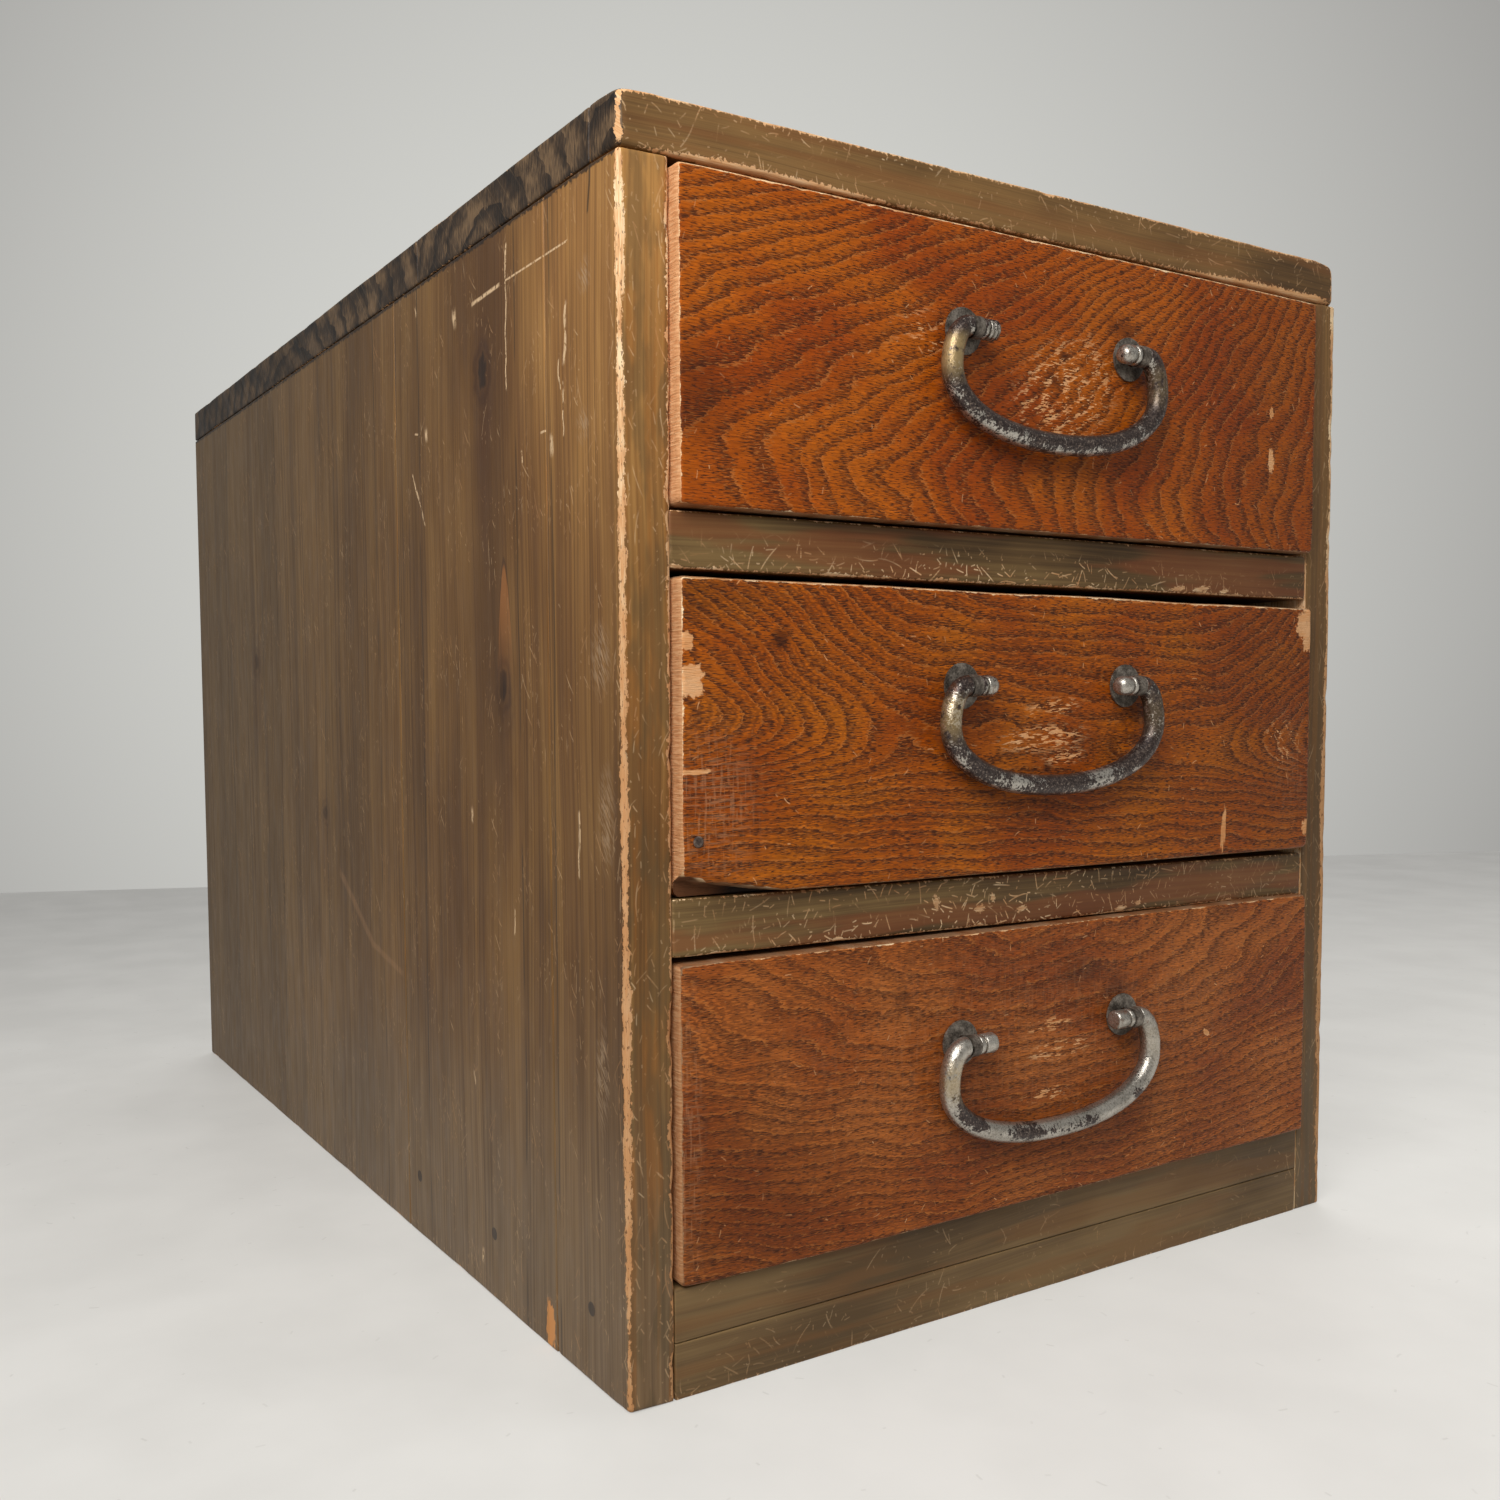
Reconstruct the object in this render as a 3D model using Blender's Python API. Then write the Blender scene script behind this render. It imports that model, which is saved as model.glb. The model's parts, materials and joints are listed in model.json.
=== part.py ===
"""Small three-drawer wooden chest with iron bail handles.

Metres, +Z up.  The chest stands on z = 0 with its drawers facing -Y, and the origin lies under the middle
of its overall box.  Each drawer hangs under an empty that slides along -Y, and each bail has its origin on
the line through its two eyes.
"""

import math

import bmesh
import bpy
from mathutils import Vector

# Gap between boards, pins and plates that touch
SEAM = 0.0003

# Case
CASE_WIDTH = 0.303
CASE_DEPTH = 0.473
TOP_THICKNESS = 0.015
TOP_STRIP_DEPTH = 0.0156
TOP_FRONT_BOARD_DEPTH = 0.1259
SIDE_THICKNESS = 0.0145
SIDE_FRONT_BOARD_DEPTH = 0.0435
SIDE_MIDDLE_BOARD_DEPTH = 0.1215
BOTTOM_THICKNESS = 0.015
BASE_HEIGHT = 0.016
BASE_RAIL_DEPTH = 0.018
BASE_CLEAT_WIDTH = 0.020
BACK_THICKNESS = 0.009
BACK_LOWER_HEIGHT = 0.168
BOARD_EDGE = 0.0008

# Frames that part the openings and carry the two upper drawers
RAIL_THICKNESS = 0.0157
RAIL_DEPTH = 0.042
REAR_RAIL_DEPTH = 0.026
RUNNER_WIDTH = 0.024

# Blocks that stop a drawer when it is pushed home
STOP_WIDTH = 0.060
STOP_HEIGHT = 0.010
STOP_DEPTH = 0.014

# Clear heights of the three openings
TOP_OPENING_HEIGHT = 0.0925
MIDDLE_OPENING_HEIGHT = 0.0909
BOTTOM_OPENING_HEIGHT = 0.0912

# Drawers
DRAWER_PROUD = 0.0038
FRONT_THICKNESS = 0.014
FRONT_END_GAP = 0.0014
FRONT_FOOT_GAP = 0.0008
TOP_HEAD_GAP = 0.0022
MIDDLE_HEAD_GAP = 0.0041
BOTTOM_HEAD_GAP = 0.0013
FRONT_EDGE = 0.0018
BOX_SIDE_GAP = 0.0018
BOX_SIDE_THICKNESS = 0.009
BOX_SIDE_DROP = 0.004
BOX_BACK_THICKNESS = 0.009
BOX_BACK_DROP = 0.006
BOX_BOTTOM_THICKNESS = 0.006

# Nail that holds the middle front to the left side of its box
NAIL_HEAD_DIAMETER = 0.0032
NAIL_HEAD_HEIGHT = 0.0005
NAIL_SHANK_DIAMETER = 0.0018
NAIL_LENGTH = 0.028
NAIL_CLEARANCE = 0.0002
NAIL_ABOVE_FOOT = 0.0165

# Handles: a bail turns in two split eyes that pass through dished plates
EYE_SPAN = 0.072
TOP_EYE_BELOW_EDGE = 0.0318
MIDDLE_EYE_BELOW_EDGE = 0.0275
BOTTOM_EYE_BELOW_EDGE = 0.0332
ROD_DIAMETER = 0.0066
BAIL_DROP = 0.0311
BEND_WIDTH = 0.0062
BEND_HEIGHT = 0.0115
BAIL_FULLNESS = 2.19
SHOULDER_LENGTH = 0.0004
NECK_DIAMETER = 0.0040
NECK_CLEARANCE = 0.00045
NECK_SIDE_PLAY = 0.0004
COLLAR_LENGTH = 0.0016
GROOVE_LENGTH = 0.0008
GROOVE_DIAMETER = 0.0046
KNOB_LENGTH = 0.0048
KNOB_DIAMETER = 0.0064
KNOB_ROUNDING = 0.0010
STRIP_WIDTH = 0.0032
STRIP_THICKNESS = 0.0009
STRIP_GAP = 0.0002
LEG_LENGTH = 0.0080
LEG_BEND_RADIUS = 0.0008
PIN_CLEARANCE = 0.0002
PLATE_DIAMETER = 0.0140
PLATE_THICKNESS = 0.0006
PLATE_DISH = 0.0004
PLATE_HOLE_CLEARANCE = 0.0005
BAIL_CLEARANCE = 0.0007

# Facets of the round pieces
ROD_FACETS = 16
PLATE_FACETS = 32
HOLE_FACETS = 24

# Sizes that follow from those above
EYE_X = EYE_SPAN / 2
EYE_INNER_RADIUS = NECK_DIAMETER / 2 + NECK_CLEARANCE
EYE_OUTER_RADIUS = EYE_INNER_RADIUS + STRIP_THICKNESS
NECK_HALF = STRIP_WIDTH / 2 + NECK_SIDE_PLAY
SHANK_HALF_HEIGHT = STRIP_GAP / 2 + STRIP_THICKNESS
SHANK_RADIUS = math.hypot(STRIP_WIDTH / 2, SHANK_HALF_HEIGHT)
PLATE_HEIGHT = SEAM + PLATE_THICKNESS + PLATE_DISH
BAIL_RADIUS_AT_PLATE = max(ROD_DIAMETER / 2, KNOB_DIAMETER / 2, EYE_OUTER_RADIUS)
EYE_OFFSET = PLATE_HEIGHT + BAIL_CLEARANCE + BAIL_RADIUS_AT_PLATE
FRONT_REACH = DRAWER_PROUD + EYE_OFFSET + BAIL_RADIUS_AT_PLATE

CASE_FRONT = (FRONT_REACH - CASE_DEPTH) / 2
CASE_BACK = CASE_FRONT + CASE_DEPTH
BACK_FACE = CASE_BACK - BACK_THICKNESS - SEAM
OUTER_X = CASE_WIDTH / 2
INNER_X = OUTER_X - SIDE_THICKNESS
FILL_X = INNER_X - SEAM

BOTTOM_TOP = BASE_HEIGHT + SEAM + BOTTOM_THICKNESS
LOWER_RAIL_FOOT = BOTTOM_TOP + BOTTOM_OPENING_HEIGHT
LOWER_RAIL_TOP = LOWER_RAIL_FOOT + RAIL_THICKNESS
UPPER_RAIL_FOOT = LOWER_RAIL_TOP + MIDDLE_OPENING_HEIGHT
UPPER_RAIL_TOP = UPPER_RAIL_FOOT + RAIL_THICKNESS
TOP_FOOT = UPPER_RAIL_TOP + TOP_OPENING_HEIGHT
SIDE_TOP = TOP_FOOT - SEAM
CASE_HEIGHT = TOP_FOOT + TOP_THICKNESS

FRONT_FACE = CASE_FRONT - DRAWER_PROUD
FRONT_REAR = FRONT_FACE + FRONT_THICKNESS
BOX_FRONT = FRONT_REAR + SEAM
STOP_FACE = BACK_FACE - STOP_DEPTH
BOX_REAR = STOP_FACE - SEAM
FRONT_X = INNER_X - FRONT_END_GAP
BOX_X = INNER_X - BOX_SIDE_GAP
BOX_INNER_X = BOX_X - BOX_SIDE_THICKNESS

# name, foot of the opening, height of the opening, gap above the front, eye line below the front's edge
DRAWERS = (
    ("top", UPPER_RAIL_TOP, TOP_OPENING_HEIGHT, TOP_HEAD_GAP, TOP_EYE_BELOW_EDGE),
    ("middle", LOWER_RAIL_TOP, MIDDLE_OPENING_HEIGHT, MIDDLE_HEAD_GAP, MIDDLE_EYE_BELOW_EDGE),
    ("bottom", BOTTOM_TOP, BOTTOM_OPENING_HEIGHT, BOTTOM_HEAD_GAP, BOTTOM_EYE_BELOW_EDGE),
)


def clear_scene():
    """Removes every object that is already in the scene."""
    for old in list(bpy.data.objects):
        bpy.data.objects.remove(old, do_unlink=True)


def finish(name, colour, roughness, metallic):
    """Makes a plain material."""
    material = bpy.data.materials.new(name)
    material.use_nodes = True
    shader = material.node_tree.nodes["Principled BSDF"]
    shader.inputs["Base Color"].default_value = (*colour, 1.0)
    shader.inputs["Roughness"].default_value = roughness
    shader.inputs["Metallic"].default_value = metallic
    return material


def empty(name, place):
    """Adds an empty that carries a group of pieces."""
    holder = bpy.data.objects.new(name, None)
    holder.empty_display_size = SIDE_THICKNESS
    holder.location = place
    bpy.context.collection.objects.link(holder)
    return holder


def place_mesh(name, shape, material, parent, place):
    """Turns a bmesh into a named object at a world position under its parent."""
    bmesh.ops.recalc_face_normals(shape, faces=shape.faces)
    mesh = bpy.data.meshes.new(name)
    shape.to_mesh(mesh)
    shape.free()
    mesh.materials.append(material)
    piece = bpy.data.objects.new(name, mesh)
    bpy.context.collection.objects.link(piece)
    piece.parent = parent
    piece.location = Vector(place) - parent.location
    return piece


def board(name, parent, material, low, high, edge=BOARD_EDGE, steps=1):
    """Adds a board between two corners with eased edges."""
    low, high = Vector(low), Vector(high)
    shape = bmesh.new()
    bmesh.ops.create_cube(shape, size=1.0)
    bmesh.ops.scale(shape, vec=high - low, verts=shape.verts)
    piece = place_mesh(name, shape, material, parent, (low + high) / 2)
    ease = piece.modifiers.new("eased_edges", "BEVEL")
    ease.width = min(edge, min(high - low) / 3)
    ease.segments = steps
    ease.limit_method = "ANGLE"
    return piece


def loft(rings):
    """Joins rings of points into one closed skin with a flat face at each end."""
    shape = bmesh.new()
    loops = [[shape.verts.new(point) for point in ring] for ring in rings]
    count = len(loops[0])
    for here, there in zip(loops, loops[1:]):
        for i in range(count):
            j = (i + 1) % count
            shape.faces.new((here[i], here[j], there[j], there[i]))
    shape.faces.new(loops[0])
    shape.faces.new(reversed(loops[-1]))
    return shape


def round_off(piece, angle=math.radians(40)):
    """Shades a round piece smooth and keeps its steps sharp."""
    piece.data.shade_smooth()
    piece.data.set_sharp_from_angle(angle=angle)


def ring_along_y(radius, y, facets):
    """Points of a circle round the Y axis."""
    turns = [math.tau * i / facets for i in range(facets)]
    return [Vector((radius * math.cos(t), y, radius * math.sin(t))) for t in turns]


def bore(piece, parent, name, radius, start, end, x, z):
    """Cuts a round hole along Y through a piece."""
    rings = [ring_along_y(radius, start, HOLE_FACETS), ring_along_y(radius, end, HOLE_FACETS)]
    cutter = place_mesh(name, loft(rings), piece.data.materials[0], parent, (x, 0.0, z))
    cutter.hide_render = True
    cutter.display_type = "WIRE"
    cut = piece.modifiers.new(name, "BOOLEAN")
    cut.operation = "DIFFERENCE"
    cut.solver = "EXACT"
    cut.object = cutter


def bail_stations():
    """Centre line of the right half of a bail, from the end of its knob to the middle of its bow.

    Each station is (x, z, radius); the eye line is z = 0.
    """
    rod, neck, knob = ROD_DIAMETER / 2, NECK_DIAMETER / 2, KNOB_DIAMETER / 2
    groove = GROOVE_DIAMETER / 2
    collar_start = EYE_X - NECK_HALF - COLLAR_LENGTH
    knob_foot = collar_start - GROOVE_LENGTH
    knob_end = knob_foot - KNOB_LENGTH
    stations = []
    for step in range(4):
        turn = math.pi / 2 * step / 3
        x = knob_end + KNOB_ROUNDING * (1 - math.cos(turn))
        stations.append((x, 0.0, knob - KNOB_ROUNDING * (1 - math.sin(turn))))
    stations += [(knob_foot, 0.0, knob), (knob_foot, 0.0, groove)]
    stations += [(collar_start, 0.0, groove), (collar_start, 0.0, knob)]
    stations += [(EYE_X - NECK_HALF, 0.0, knob), (EYE_X - NECK_HALF, 0.0, neck)]
    shoulder = EYE_X + NECK_HALF
    stations += [(shoulder, 0.0, neck), (shoulder, 0.0, rod - SHOULDER_LENGTH)]
    bend_start = shoulder + SHOULDER_LENGTH
    half_width = bend_start + BEND_WIDTH
    for step in range(9):
        turn = math.pi / 2 * step / 8
        x = bend_start + BEND_WIDTH * math.sin(turn)
        stations.append((x, -BEND_HEIGHT * (1 - math.cos(turn)), rod))
    power = 2 / BAIL_FULLNESS
    for step in range(1, 17):
        turn = math.pi / 2 * step / 16
        x = half_width * max(math.cos(turn), 0.0) ** power if step < 16 else 0.0
        z = -BEND_HEIGHT - (BAIL_DROP - BEND_HEIGHT) * math.sin(turn) ** power
        stations.append((x, z, rod))
    return stations


def heading(line, i):
    """Direction of the centre line at a station, between its nearest distinct neighbours."""
    here = Vector((line[i][0], 0.0, line[i][1]))
    points = [Vector((x, 0.0, z)) for x, z, _radius in line]
    before = [p for p in points[:i] if p != here]
    after = [p for p in points[i + 1 :] if p != here]
    run = Vector((0.0, 0.0, 0.0))
    if before:
        run += (here - before[-1]).normalized()
    if after:
        run += (after[0] - here).normalized()
    return run.normalized()


def bail(name, parent, material, place):
    """Adds a bail whose origin lies midway between its eyes."""
    right = bail_stations()
    line = right + [(-x, z, radius) for x, z, radius in reversed(right[:-1])]
    rings = []
    for i, (x, z, radius) in enumerate(line):
        side = Vector((0, 1, 0)).cross(heading(line, i))
        ring = []
        for k in range(ROD_FACETS):
            turn = math.tau * k / ROD_FACETS
            spoke = Vector((0, math.cos(turn), 0)) + side * math.sin(turn)
            ring.append(Vector((x, 0, z)) + spoke * radius)
        rings.append(ring)
    piece = place_mesh(name, loft(rings), material, parent, place)
    round_off(piece)
    return piece


def eye_line():
    """Centre line in the YZ plane of a split eye, from one clinched leg round the loop to the other.

    The loop's centre is y = 0, and the legs lie on the rear of the drawer front.
    """
    middle = STRIP_GAP / 2 + STRIP_THICKNESS / 2
    loop = EYE_INNER_RADIUS + STRIP_THICKNESS / 2
    leg_y = EYE_OFFSET + FRONT_THICKNESS + SEAM + STRIP_THICKNESS / 2
    bend = LEG_BEND_RADIUS + STRIP_THICKNESS / 2
    half = [Vector((leg_y, middle + bend + LEG_LENGTH))]
    for step in range(7):
        turn = math.pi / 2 * step / 6
        half.append(Vector((leg_y - bend + bend * math.cos(turn), middle + bend - bend * math.sin(turn))))
    start = math.asin(middle / loop)
    for step in range(15):
        turn = start + (math.pi - start) * step / 14
        half.append(Vector((loop * math.cos(turn), loop * math.sin(turn))))
    half[-1].y = 0.0
    return half + [Vector((p.x, -p.y)) for p in reversed(half[:-1])]


def split_eye(name, parent, material, place):
    """Adds a strip bent into a loop, with two legs clinched behind the drawer front."""
    line = eye_line()
    half_width, half_thickness = STRIP_WIDTH / 2, STRIP_THICKNESS / 2
    rings = []
    for i, point in enumerate(line):
        runs = [(b - a).normalized() for a, b in zip(line, line[1:])][max(i - 1, 0) : i + 1]
        normals = [Vector((-run.y, run.x)) for run in runs]
        across = sum(normals, Vector((0, 0))).normalized()
        across = across * (half_thickness / across.dot(normals[0]))
        corners = ((-half_width, point - across), (half_width, point - across))
        corners += ((half_width, point + across), (-half_width, point + across))
        rings.append([Vector((x, p.x, p.y)) for x, p in corners])
    return place_mesh(name, loft(rings), material, parent, place)


def plate(name, parent, material, place):
    """Adds a thin dished washer that lies on the drawer front, facing -Y."""
    outer = PLATE_DIAMETER / 2
    inner = SHANK_RADIUS + PLATE_HOLE_CLEARANCE
    outline = (
        (outer, 0.0),
        (outer, -PLATE_THICKNESS),
        (inner, -PLATE_THICKNESS - PLATE_DISH),
        (inner, -PLATE_DISH),
    )
    shape = bmesh.new()
    loops = []
    for radius, y in outline:
        loops.append([shape.verts.new(point) for point in ring_along_y(radius, y, PLATE_FACETS)])
    for here, there in zip(loops, loops[1:] + loops[:1]):
        for i in range(PLATE_FACETS):
            j = (i + 1) % PLATE_FACETS
            shape.faces.new((here[i], here[j], there[j], there[i]))
    piece = place_mesh(name, shape, material, parent, place)
    round_off(piece)
    return piece


def nail(name, parent, material, place):
    """Adds a round nail whose head lies on the drawer front, driven along +Y."""
    head, shank = NAIL_HEAD_DIAMETER / 2, NAIL_SHANK_DIAMETER / 2
    taper = NAIL_LENGTH - 2 * NAIL_SHANK_DIAMETER
    stations = (
        (head * 0.8, -NAIL_HEAD_HEIGHT),
        (head, -NAIL_HEAD_HEIGHT / 2),
        (head, 0.0),
        (shank, 0.0),
        (shank, taper),
        (shank * 0.3, NAIL_LENGTH),
    )
    rings = [ring_along_y(radius, y, HOLE_FACETS) for radius, y in stations]
    piece = place_mesh(name, loft(rings), material, parent, place)
    round_off(piece)
    return piece


def build_case(stain, end_grain, pale):
    """Adds the fixed boards of the chest."""
    case = empty("case", (0.0, 0.0, 0.0))

    strip_back = CASE_FRONT + TOP_STRIP_DEPTH
    front_back = strip_back + TOP_FRONT_BOARD_DEPTH
    spans = (
        ("top_front_strip", CASE_FRONT, strip_back - SEAM),
        ("top_board_front", strip_back, front_back - SEAM),
        ("top_board_rear", front_back, CASE_BACK),
    )
    for name, near, far in spans:
        board(name, case, end_grain, (-OUTER_X, near, TOP_FOOT), (OUTER_X, far, CASE_HEIGHT))

    front_back = CASE_FRONT + SIDE_FRONT_BOARD_DEPTH
    middle_back = front_back + SIDE_MIDDLE_BOARD_DEPTH
    spans = (
        ("front", CASE_FRONT, front_back - SEAM),
        ("middle", front_back, middle_back - SEAM),
        ("rear", middle_back, CASE_BACK),
    )
    for part, near, far in spans:
        for side, x_low, x_high in (("left", -OUTER_X, -INNER_X), ("right", INNER_X, OUTER_X)):
            board(f"{side}_side_board_{part}", case, stain, (x_low, near, 0.0), (x_high, far, SIDE_TOP))

    low = BASE_HEIGHT + SEAM
    board("bottom_board", case, stain, (-FILL_X, CASE_FRONT, low), (FILL_X, BACK_FACE, BOTTOM_TOP))
    rail_back = CASE_FRONT + BASE_RAIL_DEPTH
    rear_front = BACK_FACE - BASE_RAIL_DEPTH
    board("base_rail_front", case, stain, (-FILL_X, CASE_FRONT, 0.0), (FILL_X, rail_back, BASE_HEIGHT))
    board("base_rail_back", case, pale, (-FILL_X, rear_front, 0.0), (FILL_X, BACK_FACE, BASE_HEIGHT))
    near, far = rail_back + SEAM, rear_front - SEAM
    cleat_x = FILL_X - BASE_CLEAT_WIDTH
    board("base_cleat_left", case, pale, (-FILL_X, near, 0.0), (-cleat_x, far, BASE_HEIGHT))
    board("base_cleat_right", case, pale, (cleat_x, near, 0.0), (FILL_X, far, BASE_HEIGHT))

    near = CASE_BACK - BACK_THICKNESS
    seam = BACK_LOWER_HEIGHT + SEAM
    board("back_board_lower", case, pale, (-FILL_X, near, 0.0), (FILL_X, CASE_BACK, BACK_LOWER_HEIGHT))
    board("back_board_upper", case, pale, (-FILL_X, near, seam), (FILL_X, CASE_BACK, SIDE_TOP))

    for level, foot in (("upper", UPPER_RAIL_FOOT), ("lower", LOWER_RAIL_FOOT)):
        top = foot + RAIL_THICKNESS
        rail_back = CASE_FRONT + RAIL_DEPTH
        rear_front = BACK_FACE - REAR_RAIL_DEPTH
        name = f"divider_rail_{level}"
        board(name, case, stain, (-FILL_X, CASE_FRONT, foot), (FILL_X, rail_back, top))
        board(f"rear_rail_{level}", case, pale, (-FILL_X, rear_front, foot), (FILL_X, BACK_FACE, top))
        near, far = rail_back + SEAM, rear_front - SEAM
        runner_x = FILL_X - RUNNER_WIDTH
        board(f"runner_{level}_left", case, pale, (-FILL_X, near, foot), (-runner_x, far, top))
        board(f"runner_{level}_right", case, pale, (runner_x, near, foot), (FILL_X, far, top))

    for name, foot, _height, _head_gap, _eye_drop in DRAWERS:
        low = (-STOP_WIDTH / 2, STOP_FACE, foot + SEAM)
        high = (STOP_WIDTH / 2, BACK_FACE - SEAM, foot + SEAM + STOP_HEIGHT)
        board(f"drawer_stop_{name}", case, pale, low, high)


def build_drawer(name, foot, opening, head_gap, eye_drop, lacquer, pale, iron, steel):
    """Adds one drawer with its handle."""
    front_foot = foot + FRONT_FOOT_GAP
    front_top = foot + opening - head_gap
    eye_z = front_top - eye_drop
    slide = empty(f"{name}_drawer_slide", (0.0, FRONT_FACE, (front_foot + front_top) / 2))

    low, high = (-FRONT_X, FRONT_FACE, front_foot), (FRONT_X, FRONT_REAR, front_top)
    front = board(f"{name}_drawer_front", slide, lacquer, low, high, FRONT_EDGE, 3)

    bottom_foot = foot + SEAM
    bottom_top = bottom_foot + BOX_BOTTOM_THICKNESS
    low, high = (-BOX_X, BOX_FRONT, bottom_foot), (BOX_X, BOX_REAR, bottom_top)
    board(f"{name}_drawer_bottom", slide, pale, low, high)

    side_foot = bottom_top + SEAM
    side_top = front_top - BOX_SIDE_DROP
    low, high = (-BOX_X, BOX_FRONT, side_foot), (-BOX_INNER_X, BOX_REAR, side_top)
    left = board(f"{name}_drawer_side_left", slide, pale, low, high)
    low, high = (BOX_INNER_X, BOX_FRONT, side_foot), (BOX_X, BOX_REAR, side_top)
    board(f"{name}_drawer_side_right", slide, pale, low, high)
    back_x = BOX_INNER_X - SEAM
    low = (-back_x, BOX_REAR - BOX_BACK_THICKNESS, side_foot)
    high = (back_x, BOX_REAR, front_top - BOX_BACK_DROP)
    board(f"{name}_drawer_back", slide, pale, low, high)

    eye_y = FRONT_FACE - EYE_OFFSET
    for side, x in (("left", -EYE_X), ("right", EYE_X)):
        hole = SHANK_RADIUS + PIN_CLEARANCE
        ends = (FRONT_FACE - FRONT_THICKNESS, FRONT_REAR + FRONT_THICKNESS)
        bore(front, slide, f"{name}_eye_hole_{side}", hole, *ends, x, eye_z)
        plate(f"{name}_plate_{side}", slide, steel, (x, FRONT_FACE - SEAM, eye_z))
        split_eye(f"{name}_eye_{side}", slide, iron, (x, eye_y, eye_z))
    bail(f"{name}_bail", slide, iron, (0.0, eye_y, eye_z))

    if name == "middle":
        nail_x = -(BOX_X + BOX_INNER_X) / 2
        nail_z = front_foot + NAIL_ABOVE_FOOT
        hole = NAIL_SHANK_DIAMETER / 2 + NAIL_CLEARANCE
        tip = FRONT_FACE + NAIL_LENGTH + SEAM
        bore(front, slide, "nail_hole_front", hole, FRONT_FACE - NAIL_LENGTH, tip, nail_x, nail_z)
        bore(left, slide, "nail_hole_side", hole, FRONT_FACE - NAIL_LENGTH, tip, nail_x, nail_z)
        nail("middle_drawer_nail", slide, steel, (nail_x, FRONT_FACE - SEAM, nail_z))


def build():
    """Builds the whole chest."""
    clear_scene()
    stain = finish("stained_case_wood", (0.105, 0.072, 0.034), 0.48, 0.0)
    end_grain = finish("stained_top_wood", (0.085, 0.058, 0.032), 0.55, 0.0)
    lacquer = finish("lacquered_drawer_wood", (0.300, 0.078, 0.017), 0.34, 0.0)
    pale = finish("bare_softwood", (0.480, 0.310, 0.160), 0.70, 0.0)
    iron = finish("worn_iron", (0.230, 0.205, 0.175), 0.42, 0.9)
    steel = finish("dull_plate", (0.300, 0.280, 0.250), 0.50, 0.9)
    build_case(stain, end_grain, pale)
    for drawer in DRAWERS:
        build_drawer(*drawer, lacquer, pale, iron, steel)


build()
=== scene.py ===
"""Looks of a small stained chest with three lacquered drawers and iron bails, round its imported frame."""

import json
import math

import bpy
from mathutils import Matrix, Vector, noise


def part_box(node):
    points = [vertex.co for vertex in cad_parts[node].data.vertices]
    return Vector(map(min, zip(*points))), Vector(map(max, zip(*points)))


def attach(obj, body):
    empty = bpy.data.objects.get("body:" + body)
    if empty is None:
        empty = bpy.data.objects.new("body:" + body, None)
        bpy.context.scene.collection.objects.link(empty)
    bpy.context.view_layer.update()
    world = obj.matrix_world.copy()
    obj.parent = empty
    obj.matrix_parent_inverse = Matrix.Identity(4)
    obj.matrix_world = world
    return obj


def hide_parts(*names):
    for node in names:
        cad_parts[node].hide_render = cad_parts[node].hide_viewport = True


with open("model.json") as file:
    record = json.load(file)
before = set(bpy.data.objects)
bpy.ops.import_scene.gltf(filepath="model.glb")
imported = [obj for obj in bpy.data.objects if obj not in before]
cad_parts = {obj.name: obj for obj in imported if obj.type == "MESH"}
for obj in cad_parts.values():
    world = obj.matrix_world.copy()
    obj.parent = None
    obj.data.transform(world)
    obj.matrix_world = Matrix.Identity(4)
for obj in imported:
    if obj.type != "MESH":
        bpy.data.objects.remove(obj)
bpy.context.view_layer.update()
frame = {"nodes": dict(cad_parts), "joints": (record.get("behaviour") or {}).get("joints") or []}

MM = 0.001
# Moves a texture along its two axes for each unit of its seed
SEED_SHIFT = (7.31, 3.17)

# Camera of the photograph, in the row frame
CAMERA_PLACE = Vector((-0.33300, -0.55423, 0.19339))
CAMERA_AZIMUTH = math.radians(31.207)
CAMERA_ELEVATION = math.radians(-3.3146)
CAMERA_ROLL = math.radians(-0.4552)
IMAGE_SIZE = 1500.0
FOCAL_PIXELS = 1405.9
CENTRE_PIXEL = (670.9, 783.3)
SENSOR_WIDTH = 36.0
CLIP_START = 0.01

# Where the floor meets the wall: its distance from the origin along this direction
WALL_DIRECTION = Vector((0.37302, 0.92782, 0.0))
WALL_DISTANCE = 0.91277
FLOOR_REACH = 6.0

# Edge wear of boards
EDGE_CUTS = (0.0, 0.0003, 0.0007, 0.0012, 0.0019, 0.0029, 0.0042)
WEAR_REACH = 0.014
BOARD_RADIUS = 0.0006
SWELL_LENGTH = 0.030
CHIP_LENGTH = 0.0055
UNPEELED = -8.0
NO_LENGTH = 1e-9


def rgb(red, green, blue):
    """A colour written in the usual 0 to 255, as the linear values that shaders take."""
    parts = (channel / 255.0 for channel in (red, green, blue))
    linear = tuple(p / 12.92 if p <= 0.04045 else ((p + 0.055) / 1.055) ** 2.4 for p in parts)
    return (*linear, 1.0)


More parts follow.
